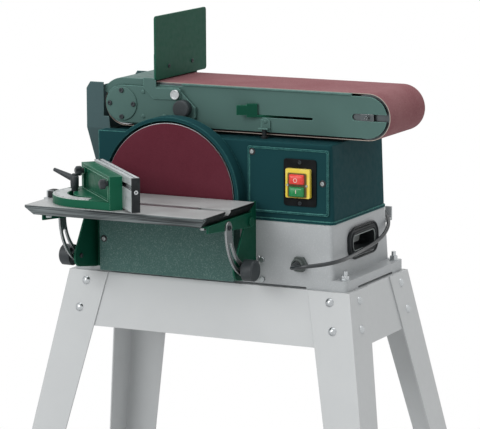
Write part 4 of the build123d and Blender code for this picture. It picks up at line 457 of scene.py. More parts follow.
@dataclass(frozen=True)
class BareMetal(Finish):
    """Plated, drawn or turned metal: tool marks streak the gloss one way or in rings, and edges are painted
    bright as a highlight.
    """

    roughness: float = 0.3
    lay: Lay = Lay.NONE
    mark_mm: float = 1.2
    mark_depth_mm: float = 0.02
    stretch: float = 40.0
    turn: Point = (0.0, 0.0, 0.0)
    centre: Point = (0.0, 0.0, 0.0)
    stain: str = "#6f7072"
    stain_mm: float = 30.0
    stain_share: float = 0.25
    edge_highlight: str = "#f2f4f4"
    edge_highlight_share: float = 0.5
    bump: float = 0.4
    mark_window: Flat = (0.25, 0.75)
    stain_window: Flat = (0.42, 0.75)
    dulling: Flat = (-0.08, 0.12)

    def marks(self, tree: Tree, place: Socket) -> Socket:
        """Pattern of the tool marks.

        Args:
            tree: the material's tree.
            place: the object coordinates.

        Returns:
            Its height, from 0 to 1.
        """
        if self.lay is Lay.NONE:
            return blotches(tree, place, self.mark_mm, self.mark_window, FULL, detail=3.0)
        centre = tuple(MM * c for c in self.centre)
        seat = {"Vector": place, "Location": centre, "Rotation": self.turn}
        local = add_node(tree, "ShaderNodeMapping", {"vector_type": "TEXTURE"}, seat).outputs["Vector"]
        squeeze = (1.0 / self.stretch, 1.0, 1.0) if self.lay is Lay.ALONG else (1.0, 1.0, 0.0)
        scaled = add_node(tree, "ShaderNodeVectorMath", TIMES, {0: local, 1: squeeze}).outputs["Vector"]
        if self.lay is Lay.ALONG:
            return blotches(tree, scaled, self.mark_mm, self.mark_window, FULL)
        reach = add_node(tree, "ShaderNodeVectorMath", LENGTH, {0: scaled}).outputs["Value"]
        rings = {"W": reach, "Scale": per_metre(self.mark_mm), "Detail": 3.0}
        return add_node(tree, "ShaderNodeTexNoise", {"noise_dimensions": "1D"}, rings).outputs["Fac"]

    def surface(self, tree: Tree, place: Socket) -> dict[str, Any]:
        """Inputs of the shader: stained metal with tool marks, and edges painted bright as a highlight.

        Args:
            tree: the material's tree.
            place: the object coordinates.

        Returns:
            Values and sockets by the shader's input names.
        """
        normal, edge = self.edges(tree, self.edge_highlight_share)
        marks = self.marks(tree, place)
        stained = (0.0, self.stain_share)
        dulled = blotches(tree, place, self.stain_mm, self.stain_window, stained, detail=5.0)
        haze = {SHARE: dulled, UNDER: linear(self.colour), OVER: linear(self.stain)}
        tone = add_node(tree, "ShaderNodeMix", COLOURS, haze).outputs[MIXED]
        # Sharp edges take the bright edge colour: a painted highlight
        layers = {SHARE: edge, UNDER: tone, OVER: linear(self.edge_highlight)}
        low, high = (self.roughness + change for change in self.dulling)
        gloss = {"Value": marks, "To Min": low, "To Max": high}
        depth = self.mark_depth_mm * MM
        relief = {"Strength": self.bump, "Distance": depth, "Height": marks, "Normal": normal}
        return {
            "Base Color": add_node(tree, "ShaderNodeMix", COLOURS, layers).outputs[MIXED],
            "Metallic": 1.0,
            "Roughness": add_node(tree, "ShaderNodeMapRange", None, gloss).outputs["Result"],
            "Normal": add_node(tree, "ShaderNodeBump", None, relief).outputs["Normal"],
        }


@dataclass(frozen=True)
class GroundTop(Finish):
    """Cast iron ground on top and painted elsewhere: grinding marks, dark ends and a scraped front edge."""

    paint: str = "#0d1011"
    scraped: str = "#7b8384"
    front_dark: str = "#24292b"
    bare_speck: str = "#3a4042"
    edge_wear_and_highlight: float = 0.6
    # Middle and half width of the mitre slot, along Y
    slot_mm: Flat = (-246.0, 9.9)
    slot_deep: float = 10.0
    top_mm: float = 752.3
    top_band: Flat = (0.6, 0.3)
    front_mm: float = -327.0
    front_band: float = 0.5
    stretch: float = 60.0
    mark_mm: float = 1.6
    mark_depth_mm: float = 0.02
    mark_shade: float = 0.84
    chip_mm: float = 3.5
    chip_depth_mm: float = 0.15
    streak_mm: float = 2.2
    dull_mm: float = 45.0
    metal_share: float = 0.35
    gloss: float = 0.15
    roughness: Flat = (0.4, 0.54)
    chip_window: Flat = (0.55, 0.75)
    chip_share: float = 0.4
    chip_bump: float = 0.4
    streak_window: Flat = (0.35, 0.7)
    mark_bump: float = 0.3

    def ground_share(self, tree: Tree, across: Socket, height: Socket) -> Socket:
        """Share that is 1 on the ground top and on the slot's milled walls.

        Args:
            tree: the material's tree.
            across: the object's Y.
            height: the object's Z.

        Returns:
            The share.
        """
        low, high = ((self.top_mm - below) * MM for below in self.top_band)
        level = {"From Min": low, "From Max": high}
        face = add_node(tree, "ShaderNodeMapRange", None, {"Value": height, **level}).outputs["Result"]
        beside = {0: across, 1: self.slot_mm[0] * MM, 2: self.slot_mm[1] * MM}
        near = add_node(tree, "ShaderNodeMath", {"operation": "COMPARE"}, beside).outputs["Value"]
        depth = {0: height, 1: (self.top_mm - self.slot_deep) * MM}
        raised = add_node(tree, "ShaderNodeMath", {"operation": "GREATER_THAN"}, depth).outputs["Value"]
        walls = add_node(tree, "ShaderNodeMath", TIMES, {0: near, 1: raised}).outputs["Value"]
        return add_node(tree, "ShaderNodeMath", LARGER, {0: face, 1: walls}).outputs["Value"]

    def surface(self, tree: Tree, place: Socket) -> dict[str, Any]:
        """Inputs of the shader: a ground top, a scraped front edge and chipped paint elsewhere.

        Args:
            tree: the material's tree.
            place: the object coordinates.

        Returns:
            Values and sockets by the shader's input names.
        """
        normal, edge = self.edges(tree, self.edge_wear_and_highlight)
        parts = add_node(tree, "ShaderNodeSeparateXYZ", None, {"Vector": place}).outputs
        upper = self.ground_share(tree, parts["Y"], parts["Z"])
        brink = {"From Min": self.front_mm * MM, "From Max": (self.front_mm - self.front_band) * MM}
        front = add_node(tree, "ShaderNodeMapRange", None, {"Value": parts["Y"], **brink}).outputs["Result"]
        along = {0: place, 1: (1.0 / self.stretch, 1.0, 1.0)}
        squeezed = add_node(tree, "ShaderNodeVectorMath", TIMES, along).outputs["Vector"]
        marks = blotches(tree, squeezed, self.mark_mm, WIDELY, FULL)
        light = linear(self.colour)
        shaded = tuple(self.mark_shade * c for c in light[:3]) + (1.0,)
        tones = {SHARE: marks, UNDER: shaded, OVER: light}
        ground = add_node(tree, "ShaderNodeMix", COLOURS, tones).outputs[MIXED]
        chips = blotches(tree, place, self.chip_mm, self.chip_window, (0.0, self.chip_share), detail=6.0)
        # Sharp edges share the chips' bare specks: wear, and a painted highlight along the edges
        bare = add_node(tree, "ShaderNodeMath", LARGER, {0: chips, 1: edge}).outputs["Value"]
        coats = {SHARE: bare, UNDER: linear(self.paint), OVER: linear(self.bare_speck)}
        painted = add_node(tree, "ShaderNodeMix", COLOURS, coats).outputs[MIXED]
        streaks = blotches(tree, squeezed, self.streak_mm, self.streak_window, FULL, detail=5.0)
        strokes = {SHARE: streaks, UNDER: linear(self.front_dark), OVER: linear(self.scraped)}
        scraped = add_node(tree, "ShaderNodeMix", COLOURS, strokes).outputs[MIXED]
        sides = {SHARE: front, UNDER: painted, OVER: scraped}
        rough = add_node(tree, "ShaderNodeMix", COLOURS, sides).outputs[MIXED]
        all_round = {SHARE: upper, UNDER: rough, OVER: ground}
        metal = add_node(tree, "ShaderNodeMath", TIMES, {0: upper, 1: self.metal_share})
        depth = self.chip_depth_mm * MM
        coarse = {"Strength": self.chip_bump, "Distance": depth, "Height": chips, "Normal": normal}
        lumps = add_node(tree, "ShaderNodeBump", None, coarse).outputs["Normal"]
        shallow = self.mark_depth_mm * MM
        fine = {"Strength": self.mark_bump, "Distance": shallow, "Height": marks, "Normal": normal}
        scratches = add_node(tree, "ShaderNodeBump", None, fine).outputs["Normal"]
        relief = {SHARE: upper, UNDER_VECTOR: lumps, OVER_VECTOR: scratches}
        uneven = add_node(tree, "ShaderNodeMix", {"data_type": "VECTOR"}, relief)
        return {
            "Base Color": add_node(tree, "ShaderNodeMix", COLOURS, all_round).outputs[MIXED],
            "Metallic": metal.outputs["Value"],
            "Roughness": blotches(tree, place, self.dull_mm, SOFTLY, self.roughness, detail=5.0),
            "Normal": uneven.outputs[MIXED_VECTOR],
            "Specular IOR Level": self.gloss,
        }


@dataclass(frozen=True)
class GritCloth(Finish):
    """Oxide grit on cloth: matt, with paler and darker grains drawn a little coarse so that they show."""

    pale: str = "#a87f80"
    dark: str = "#3c2026"
    grain_mm: float = 1.5
    pale_share: float = 0.4
    dark_share: float = 0.5
    relief_mm: float = 0.25
    wear_mm: float = 70.0
    wear: float = 0.14
    cloth: str = "#b3a79d"
    edge_y: Flat | None = None
    edge_band: Flat = (0.3, 0.1)
    roughness: float = 0.82
    gloss: float = 0.1
    bump: float = 0.6
    pale_window: Flat = (0.52, 0.78)
    dark_window: Flat = (0.25, 0.47)

    def cut_edges(self, tree: Tree, place: Socket) -> Socket:
        """Share that is 1 on the cloth's two cut edges.

        Args:
            tree: the material's tree.
            place: the object coordinates.

        Returns:
            The share.
        """
        across = add_node(tree, "ShaderNodeSeparateXYZ", None, {"Vector": place}).outputs["Y"]
        found = {}
        for side, (edge, inward) in enumerate(zip(self.edge_y, (1, -1))):
            low, high = ((edge + band * inward) * MM for band in self.edge_band)
            ends = {"From Min": low, "From Max": high}
            near = add_node(tree, "ShaderNodeMapRange", None, {"Value": across, **ends})
            found[side] = near.outputs["Result"]
        return add_node(tree, "ShaderNodeMath", LARGER, found).outputs["Value"]

    def surface(self, tree: Tree, place: Socket) -> dict[str, Any]:
        """Inputs of the shader: pale and dark grains, worn patches and cut edges.

        Args:
            tree: the material's tree.
            place: the object coordinates.

        Returns:
            Values and sockets by the shader's input names.
        """
        high = blotches(tree, place, self.grain_mm, self.pale_window, (0.0, self.pale_share))
        low = blotches(tree, place, self.grain_mm, self.dark_window, (self.dark_share, 0.0))
        worn = blotches(tree, place, self.wear_mm, SOFTLY, (0.0, self.wear))
        pale = linear(self.pale)
        colour = linear(self.colour)
        layers = [(high, pale), (low, linear(self.dark)), (worn, pale)]
        if self.edge_y:
            layers.append((self.cut_edges(tree, place), linear(self.cloth)))
        for share, over in layers:
            coats = {SHARE: share, UNDER: colour, OVER: over}
            colour = add_node(tree, "ShaderNodeMix", COLOURS, coats).outputs[MIXED]
        relief = {"Strength": self.bump, "Distance": self.relief_mm * MM, "Height": high}
        return {
            "Base Color": colour,
            "Roughness": self.roughness,
            "Normal": add_node(tree, "ShaderNodeBump", None, relief).outputs["Normal"],
            "Specular IOR Level": self.gloss,
        }


SLOT_FINISHES: dict[Slot, Finish] = {
    # Satin grey sheet, a little whiter along its folds
    Slot.STAND_GREY: Enamel("light_grey_sheet_enamel", "#bcbfc0", 1.0, worn_and_highlight_edge="#e2e4e4", cloud=0.06),
    # Coarse hammered grey that breaks up the light
    Slot.BASE_GREY: HammerPaint(
        "light_grey_casting_paint", "#a6aaac", 1.2, fleck_and_edge_highlight="#c3c7c8", fleck_share=0.3, cell_mm=5.0
    ),
    # Dull dark green with a pale line painted along each edge: a highlight, and a little wear
    Slot.DEEP_GREEN: Enamel(
        "deep_green_enamel", "#193d41", 2.4, worn_and_highlight_edge="#62a49b", edge_wear_and_highlight=1.0, roughness=0.5, cloud=0.05, gloss=0.03
    ),
    # Greyed satin green with softly paler edges
    Slot.ARM_GREEN: Enamel(
        "arm_green_enamel", "#4b6762", 1.8, worn_and_highlight_edge="#86b5ac", edge_wear_and_highlight=0.8, roughness=0.48, gloss=0.12
    ),
    # Dark pure green on the castings, painted paler at the corners as a highlight and wear
    Slot.BRACKET_GREEN: Enamel(
        "bracket_green_enamel", "#0c4534", 1.4, worn_and_highlight_edge="#4f9c7e", edge_wear_and_highlight=0.75, roughness=0.42, gloss=0.1
    ),
    # Grey-green speckle with a faint gloss
    Slot.COVER_GREEN: HammerPaint("green_hammered_paint", "#3d5d58", 1.4, gloss=0.2),
    # Cool and bright, with soft mirror lights and a few dull spots
    Slot.BRIGHT_ZINC: BareMetal("bright_zinc_plate", "#b9bdbf", 0.4, roughness=0.28),
    # Grey metal with long fine streaks
    Slot.STEEL: BareMetal("drawn_steel", "#a9adaf", 0.5, roughness=0.34, lay=Lay.ALONG),
    # Soft black with a trace of dust
    Slot.BLACK_PLASTIC: Moulded("black_nylon", "#171b1d", 0.9, gloss=0.2),
    # Charcoal, a little glossier than the nylon
    Slot.KNOB_PLASTIC: Moulded("charcoal_phenolic", "#282e31", 1.3, roughness=0.45, gloss=0.35),
    # Dull black with a coarse skin
    Slot.FOOT_RUBBER: Moulded("black_foot_rubber", "#1d1e20", 1.0, roughness=0.75, skin_mm=1.6),
    # Smooth black that shines along its length
    Slot.CORD_SHEATH: Moulded("black_pvc_sheath", "#22272a", 0.3, roughness=0.3, dust_and_highlight_share=0.06),
    # Dull grey-black
    Slot.BELT_RUBBER: Moulded("black_belt_rubber", "#26272a", 0.5, roughness=0.7),
    # Black with soft highlights
    Slot.PLUG_PLASTIC: Moulded("black_plug_plastic", "#1f2224", 1.5, roughness=0.38),
    # Clear yellow with a smooth sheen and paler edges
    Slot.SWITCH_YELLOW: Moulded(
        "yellow_abs", "#e3c93c", 1.0, dust_and_edge_highlight="#f6eba0", dust_and_highlight_share=0.3, roughness=0.32, skin_depth_mm=0.02
    ),
    # Glossy red, paler at its edges
    Slot.STOP_RED: Moulded(
        "red_abs", "#d8342a", 0.9, dust_and_edge_highlight="#ef8d80", dust_and_highlight_share=0.3, roughness=0.28, skin_depth_mm=0.02
    ),
    # Glossy green, paler at its edges
    Slot.START_GREEN: Moulded(
        "green_abs", "#0b7a3e", 0.9, dust_and_edge_highlight="#5cb98a", dust_and_highlight_share=0.2, roughness=0.28, skin_depth_mm=0.02
    ),
    # Matt rose-brown grain with bare cloth at the cut edges
    Slot.ABRASIVE_CLOTH: GritCloth("maroon_grit_cloth", "#805357", pale="#b08d8d", edge_y=(-72.0, 80.4)),
    # Pale satin metal with fine marks
    Slot.DISC_METAL: BareMetal("turned_aluminium", "#b9bcbe", 0.5, roughness=0.35, mark_mm=1.0),
    # Silvery streaks on top and near-black paint below
    Slot.TABLE_IRON: GroundTop("ground_cast_iron", "#b0b2b2", 0.8),
    # Plain dark grey
    Slot.MOTOR_PAINT: Enamel("motor_grey_enamel", "#3c4144"),
    # Pale matt silver with streaks along the fence, and edges painted bright as a highlight
    Slot.FENCE_METAL: BareMetal(
        "extruded_aluminium", "#c6cacc", 0.8, roughness=0.52, lay=Lay.ALONG, turn=(0.0, 0.0, -math.pi / 4),
        edge_highlight_share=0.8,
    ),
    # Mid-grey sheet with bright edges
    Slot.GRAPHITE_STEEL: BareMetal("pressed_steel_plate", "#8c9192", 0.9, roughness=0.4, edge_highlight_share=0.9),
}


@dataclass
class PaintShop:
    """Hands out the materials of the finishes, each made once."""

    made: dict[str, Material] = field(default_factory=dict)

    def coat(self, slot: Slot, finish: Finish | None = None) -> Material:
        """The material of a record slot, or of a finish that takes its place.

        Args:
            slot: the record slot.
            finish: a finish of the piece's own, or None for the slot's.

        Returns:
            The material, made at its first use.
        """
        chosen = finish or SLOT_FINISHES[slot]
        if chosen.name not in self.made:
            self.made[chosen.name] = chosen.build()
        return self.made[chosen.name]

    def dress_node(self, node: str, finish: Finish | None = None) -> None:
        """Gives a CAD node its slots' finishes, or another one.

        Args:
            node: the node's name.
            finish: a finish of its own, or None for the slots'.
        """
        for holder in frame["nodes"][node].material_slots:
            holder.material = self.coat(Slot(holder.material.name), finish)
        log.info("dressed %s", node)


def ring(radius: float, height: float, sides: int) -> list[Point]:
    """Points of a level circle about Z.

    Args:
        radius: its radius.
        height: its height.
        sides: how many points it has.

    Returns:
        The points, or the centre alone where it has no radius.
    """
    if radius <= 0:
        return [(0.0, 0.0, height)]
    turns = (2 * math.pi * step / sides for step in range(sides))
    return [(radius * math.cos(turn), radius * math.sin(turn), height) for turn in turns]


def rounded_loop(half_u: float, half_v: float, corner: float, steps: int = 6) -> list[Flat]:
    """Points of a rectangle with round corners, about its middle.

    Args:
        half_u: half its width.
        half_v: half its height.
        corner: the corners' radius.
        steps: runs along each corner.

    Returns:
        Its points.
    """
    points = []
    for side_u, side_v, start in ((1, 1, 0), (-1, 1, 90), (-1, -1, 180), (1, -1, 270)):
        for step in range(steps + 1):
            angle = math.radians(start + 90 * step / steps)
            u = side_u * (half_u - corner) + corner * math.cos(angle)
            v = side_v * (half_v - corner) + corner * math.sin(angle)
            points.append((u, v))
    return points


def upright(loop: Sequence[Flat], middle: Point) -> list[Point]:
    """A flat loop stood up about a point, with its width along X and its height along Z."""
    x, y, z = middle
    return [(x + u, y, z + v) for u, v in loop]


def skin(solid: Solid, lower: Sequence[Any], upper: Sequence[Any]) -> None:
    """Adds the faces between two rings of as many points, or between a ring and a pole.

    Args:
        solid: the working mesh.
        lower: the corners of one ring.
        upper: the corners of the next.
    """
    count = max(len(lower), len(upper))
    for step in range(count):
        after = (step + 1) % count
        below = (lower[step % len(lower)], lower[after % len(lower)])
        above = (upper[after % len(upper)], upper[step % len(upper)])
        solid.faces.new(list(dict.fromkeys(below + above)))


def settle_mesh(solid: Solid) -> Mesh:
    """Turns the faces outward and keeps the solid as a mesh with smooth faces between its sharp edges.

    Args:
        solid: the working mesh, which is freed.

    Returns:
        The mesh.
    """
    bmesh.ops.recalc_face_normals(solid, faces=solid.faces)
    mesh = bpy.data.meshes.new("fitting")
    solid.to_mesh(mesh)
    solid.free()
    mesh.shade_smooth()
    mesh.set_sharp_from_angle(angle=math.radians(SHARP_DEG))
    return mesh


def skinned_rings(solid: Solid, rings: Sequence[Sequence[Point]]) -> list[list[bmesh.types.BMVert]]:
    """Adds rings of points in millimetres and the faces between them.

    Args:
        solid: the working mesh, in metres.
        rings: the rings in order; one of a single point is a pole.

    Returns:
        The corners of each ring.
    """
    rows = [[solid.verts.new(Vector(point) * MM) for point in points] for points in rings]
    for lower, upper in zip(rows, rows[1:]):
        skin(solid, lower, upper)
    return rows


def loft(rings: Sequence[Sequence[Point]], closed: bool = False) -> Mesh:
    """Closed skin over rings of points in millimetres.

    Args:
        rings: the rings in order; one of a single point is a pole.
        closed: whether the last ring joins the first, as on a washer.

    Returns:
        The mesh, in metres.
    """
    solid = bmesh.new()
    rows = skinned_rings(solid, rings)
    if closed:
        skin(solid, rows[-1], rows[0])
    else:
        for end in (rows[0], rows[-1]):
            if len(end) > 2:
                solid.faces.new(end)
    return settle_mesh(solid)


def lathe(profile: Sequence[Flat], sides: int = 32, closed: bool = False) -> Mesh:
    """Solid of revolution about Z from radii and heights in millimetres."""
    return loft([ring(radius, height, sides) for radius, height in profile], closed)


def plate(outline: Sequence[Point], depth: Point) -> Mesh:
    """Flat plate: an outline in millimetres, carried along by a depth."""
    return loft([outline, [tuple(Vector(point) + Vector(depth)) for point in outline]])


def stance(axis: Sequence[float]) -> Matrix:
    """Turn that brings Z to an axis, and X as near as can be to straight up.

    Args:
        axis: where Z goes.

    Returns:
        The rotation as a 3 by 3 matrix.
    """
    out = Vector(axis).normalized()
    lean = Vector((0.0, 0.0, 1.0))
    if abs(out.dot(lean)) > NEARLY_UPRIGHT:
        lean = Vector((1.0, 0.0, 0.0))
    side = (lean - out * lean.dot(out)).normalized()
    return Matrix((side, out.cross(side), out)).transposed()


FRONT = stance((0.0, -1.0, 0.0))
REAR = stance((0.0, 1.0, 0.0))
RIGHT = stance((1.0, 0.0, 0.0))
LEFT = stance((-1.0, 0.0, 0.0))
DOWN = stance((0.0, 0.0, -1.0))


def on_wall(depth: float, spots: Sequence[Flat], turn: Matrix) -> list[Place]:
    """Places on an upright wall at one Y: the X and Z of each in millimetres, with a fitting's turn."""
    return [((x, depth, z), turn) for x, z in spots]


def moved(mesh: Mesh, place: Point, turn: Matrix) -> Mesh:
    """Puts a mesh in its place: turned, then carried to a point in millimetres."""
    mesh.transform(Matrix.Translation(Vector(place) * MM) @ turn.to_4x4())
    return mesh


def box_mm(node: str) -> tuple[Vector, Vector]:
    """Lowest and highest corner of a CAD node, in millimetres."""
    low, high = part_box(node)
    return low / MM, high / MM


class Recess(Enum):
    """Driver's recess in a screw's head."""

    NONE = "none"
    CROSS = "cross"
    HEX = "hex"


@dataclass(frozen=True)
class Head:
    """Head of a screw, bolt or rivet that stands on its seat with Z outward, and its finish."""

    profile: tuple[Flat, ...]
    slot: Slot
    finish: Finish | None = None
    turn_deg: float = 0.0
    sides: int = 24
    recess: Recess = Recess.NONE
    recess_r: float = 2.2
    recess_depth: float = 1.3
    cross_arm: float = 0.28

    def outline(self) -> list[Flat]:
        """Outline of the recess.

        Returns:
            Its points in millimetres.
        """
        wide = self.recess_r
        if self.recess is Recess.HEX:
            return [(x, y) for x, y, _ in ring(wide, 0.0, sides=6)]
        slim = self.cross_arm * wide
        corner = ((slim, slim), (slim, wide), (-slim, wide))
        quarter_turns = ((1, 0), (0, 1), (-1, 0), (0, -1))
        return [(x * c - y * s, x * s + y * c) for c, s in quarter_turns for x, y in corner]

    def mesh(self) -> Mesh:
        """Makes the head.

        Returns:
            Its mesh, with the recess sunk into the top.
        """
        if self.recess is Recess.NONE:
            return lathe(self.profile, self.sides)
        solid = bmesh.new()
        rows = skinned_rings(solid, [ring(radius, z, self.sides) for radius, z in self.profile])
        solid.faces.new(rows[0])
        top = self.profile[-1][1]
        levels = (top, top - self.recess_depth)
        rim, well = skinned_rings(solid, [[(x, y, z) for x, y in self.outline()] for z in levels])
        solid.faces.new(well)
        borders = [set(rows[-1]), set(rim)]
        loops = [edge for edge in solid.edges if any(border.issuperset(edge.verts) for border in borders)]
        bmesh.ops.triangle_fill(solid, use_beauty=True, edges=loops)
        return settle_mesh(solid)


# Dark grey heads with paler edges
BLACK_OXIDE = BareMetal(
    "black_oxide_steel", "#3a3e41", 0.4, roughness=0.42, stain="#1d2022", edge_highlight="#8d9396", edge_highlight_share=0.6
)
# Greyer than the zinc, with bright edges
PLATED_STEEL = BareMetal(
    "plated_screw_steel", "#a4aaab", 0.4, roughness=0.4, stain="#5c6162", edge_highlight="#dde0e0", edge_highlight_share=0.5
)
PAN_HEAD = Head(
    ((3.6, 0.0), (3.8, 0.5), (3.6, 1.2), (3.1, 1.6)), Slot.BRIGHT_ZINC, PLATED_STEEL, turn_deg=80.0,
    recess=Recess.CROSS, recess_r=2.6, recess_depth=1.4,
)
SWITCH_SCREW = replace(
    PAN_HEAD, profile=((2.2, 0.0), (2.2, 0.9), (1.8, 1.3)), sides=16, recess_r=1.2, recess_depth=0.8
)
SOCKET_HEAD = Head(
    ((4.2, 0.0), (4.4, 0.4), (4.4, 1.9), (3.8, 2.4)), Slot.STEEL, BLACK_OXIDE, turn_deg=60.0,
    recess=Recess.HEX, recess_r=2.4,
)
HEX_BOLT = Head(
    ((5.6, 0.0), (5.6, 3.4), (4.9, 4.1), (0.0, 4.2)), Slot.BRIGHT_ZINC, PLATED_STEEL, turn_deg=60.0, sides=6
)
RIVET = Head(((4.0, 0.0), (3.8, 0.7), (2.8, 1.35), (1.4, 1.62), (0.0, 1.7)), Slot.ARM_GREEN)


def mesh_piece(name: str, mesh: Mesh, body: str) -> Piece:
    """Puts a finished mesh into the scene as a piece.

    Args:
        name: the piece's name.
        mesh: its mesh, in the machine's frame.
        body: the body that it rides on.

    Returns:
        The piece's object.
    """
    mesh.name = name
    piece = put(name, mesh)
    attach(piece, body)
    log.info("built %s on %s with %d faces", name, body, len(mesh.polygons))
    return piece


class Way(Enum):
    """How fittings are made, each way by a Geometry Nodes tree of that name."""

    ON_PLACES = "fittings_on_places"
    ALONG_PATH = "bead_along_path"


@dataclass
class FittingPress:
    """Geometry Nodes trees that set a fitting on each place of a list, or sweep a bead along a path."""

    shop: PaintShop
    seed: int = 7
    bead_sides: int = 10
    trees: dict[Way, Tree] = field(default_factory=dict)
    sockets: dict[tuple[Way, str], str] = field(default_factory=dict)

    def __post_init__(self) -> None:
        """Builds both trees."""
        self.make_places_tree()
        self.make_bead_tree()

    def start_tree(self, way: Way, named: dict[str, str]) -> Tree:
        """Starts a tree with geometry in and out and named inputs, whose identifiers are kept.

        Args:
            way: what the tree is for.
            named: socket type of each input, by its name.

        Returns:
            The tree.
        """
        tree = bpy.data.node_groups.new(way.value, "GeometryNodeTree")
        for side in ("INPUT", "OUTPUT"):
            tree.interface.new_socket("Geometry", in_out=side, socket_type="NodeSocketGeometry")
        for name, kind in named.items():
            made = tree.interface.new_socket(name, in_out="INPUT", socket_type=kind)
            self.sockets[way, name] = made.identifier
        self.trees[way] = tree
        return tree

    def end_tree(self, tree: Tree, shape: Socket, finish: Socket) -> None:
        """Ends a tree: instances made real, and the finish put on.

        Args:
            tree: the tree.
            shape: its geometry so far.
            finish: its input for the material.
        """
        solid = add_node(tree, "GeometryNodeRealizeInstances", None, {"Geometry": shape}).outputs["Geometry"]
        coated = add_node(tree, "GeometryNodeSetMaterial", None, {"Geometry": solid, "Material": finish})
        add_node(tree, "NodeGroupOutput", None, {"Geometry": coated.outputs["Geometry"]})

    def make_places_tree(self) -> None:
        """Tree that sets a fitting on each point, leaned by the point's stance and turned at random."""
        kinds = {"Fitting": "NodeSocketObject", "Finish": "NodeSocketMaterial", "Turn": "NodeSocketFloat"}
        tree = self.start_tree(Way.ON_PLACES, kinds)
        given = add_node(tree, "NodeGroupInput").outputs
        shape = add_node(tree, "GeometryNodeObjectInfo", None, {"Object": given["Fitting"]})
        vectors = {"data_type": "FLOAT_VECTOR"}
        lean = add_node(tree, "GeometryNodeInputNamedAttribute", vectors, {"Name": "stance"})
        turned = add_node(tree, "FunctionNodeEulerToRotation", None, {"Euler": lean.outputs["Attribute"]})
        spots = {
            "Points": given["Geometry"],
            "Instance": shape.outputs["Geometry"],
            "Rotation": turned.outputs["Rotation"],
        }
        copies = add_node(tree, "GeometryNodeInstanceOnPoints", None, spots)
        limits = {LEAST: 0.0, MOST: given["Turn"], "Seed": self.seed}
        chance = add_node(tree, "FunctionNodeRandomValue", {"data_type": "FLOAT"}, limits)
        spin = add_node(tree, "ShaderNodeCombineXYZ", None, {"Z": chance.outputs[DRAWN]})
        drive = {"Instances": copies.outputs["Instances"], "Rotation": spin.outputs["Vector"]}
        spun = add_node(tree, "GeometryNodeRotateInstances", None, drive)
        self.end_tree(tree, spun.outputs["Instances"], given["Finish"])

    def make_bead_tree(self) -> None:
        """Tree that sweeps a round section along the edges of a mesh."""
        kinds = {"Radius": "NodeSocketFloat", "Finish": "NodeSocketMaterial"}
        tree = self.start_tree(Way.ALONG_PATH, kinds)
        given = add_node(tree, "NodeGroupInput").outputs
        path = add_node(tree, "GeometryNodeMeshToCurve", None, {"Mesh": given["Geometry"]})
        size = {"Resolution": self.bead_sides, "Radius": given["Radius"]}
        section = add_node(tree, "GeometryNodeCurvePrimitiveCircle", None, size)
        run = {"Curve": path.outputs["Curve"], "Profile Curve": section.outputs["Curve"], "Fill Caps": True}
        swept = add_node(tree, "GeometryNodeCurveToMesh", None, run)
        smooth = add_node(tree, "GeometryNodeSetShadeSmooth", None, {"Geometry": swept.outputs["Mesh"]})
        self.end_tree(tree, smooth.outputs["Geometry"], given["Finish"])

    def settle(self, start: Mesh, way: Way, values: dict[str, Any]) -> Mesh:
        """Runs a tree on a mesh and keeps the result as a plain mesh.

        Args:
            start: the places or the path.
            way: which tree to run.
            values: its inputs by name.

        Returns:
            The new mesh.
        """
        carrier = put("carrier", start)
        modifier = carrier.modifiers.new("fittings", "NODES")
        modifier.node_group = self.trees[way]
        for name, value in values.items():
            modifier[self.sockets[way, name]] = value
        graph = bpy.context.evaluated_depsgraph_get()
        mesh = bpy.data.meshes.new_from_object(carrier.evaluated_get(graph), depsgraph=graph)
        bpy.data.objects.remove(carrier)
        return mesh

    def set_out(
        self,
        name: str,
        shape: Mesh,
        places: Sequence[Place],
        body: str,
        slot: Slot,
        finish: Finish | None = None,
        turn_deg: float = 0.0,
    ) -> Piece:
        """Sets one fitting on each place.

        Args:
            name: the piece's name.
            shape: the fitting's mesh, in its own frame with Z outward.
            places: point in millimetres and turn of each fitting.
            body: the body that carries them.
            slot: their record slot.
            finish: a finish of their own, or None for the slot's.
            turn_deg: how far each may be turned about its own axis, at random with a fixed seed.

        Returns:
            The piece.
        """
        points = bpy.data.meshes.new(name + "_places")
        points.from_pydata([Vector(place) * MM for place, _ in places], [], [])
        leans = points.attributes.new("stance", "FLOAT_VECTOR", "POINT")
        for number, (_, turn) in enumerate(places):
            leans.data[number].vector = turn.to_euler()
        pattern = bpy.data.objects.new(name + "_pattern", shape)
        material = self.shop.coat(slot, finish)
        values = {"Fitting": pattern, "Finish": material, "Turn": math.radians(turn_deg)}
        mesh = self.settle(points, Way.ON_PLACES, values)
        bpy.data.objects.remove(pattern)
        return mesh_piece(name, mesh, body)

    def fasten(self, name: str, head: Head, places: Sequence[Place], body: str) -> Piece:
        """Sets the head of a screw, bolt or rivet on each place."""
        return self.set_out(name, head.mesh(), places, body, head.slot, head.finish, head.turn_deg)

    def bead(
        self,
        name: str,
        loops: Sequence[Sequence[Point]],
        radius_mm: float,
        body: str,
        slot: Slot,
        finish: Finish | None = None,
        closed: bool = True,
    ) -> Piece:
        """Sweeps a round bead along loops or open paths.

        Args:
            name: the piece's name.
            loops: points in millimetres of each loop or path.
            radius_mm: the bead's radius.
            body: the body that carries it.
            slot: its record slot.
            finish: a finish of its own, or None for the slot's.
            closed: whether each path runs back to its start.

        Returns:
            The piece.
        """
        points = []
        edges = []
        for loop in loops:
            first = len(points)
            points += [Vector(point) * MM for point in loop]
            links = len(loop) if closed else len(loop) - 1
            edges += [(first + step, first + (step + 1) % len(loop)) for step in range(links)]
        path = bpy.data.meshes.new(name + "_path")
        path.from_pydata(points, edges, [])
        values = {"Radius": radius_mm * MM, "Finish": self.shop.coat(slot, finish)}
        return mesh_piece(name, self.settle(path, Way.ALONG_PATH, values), body)


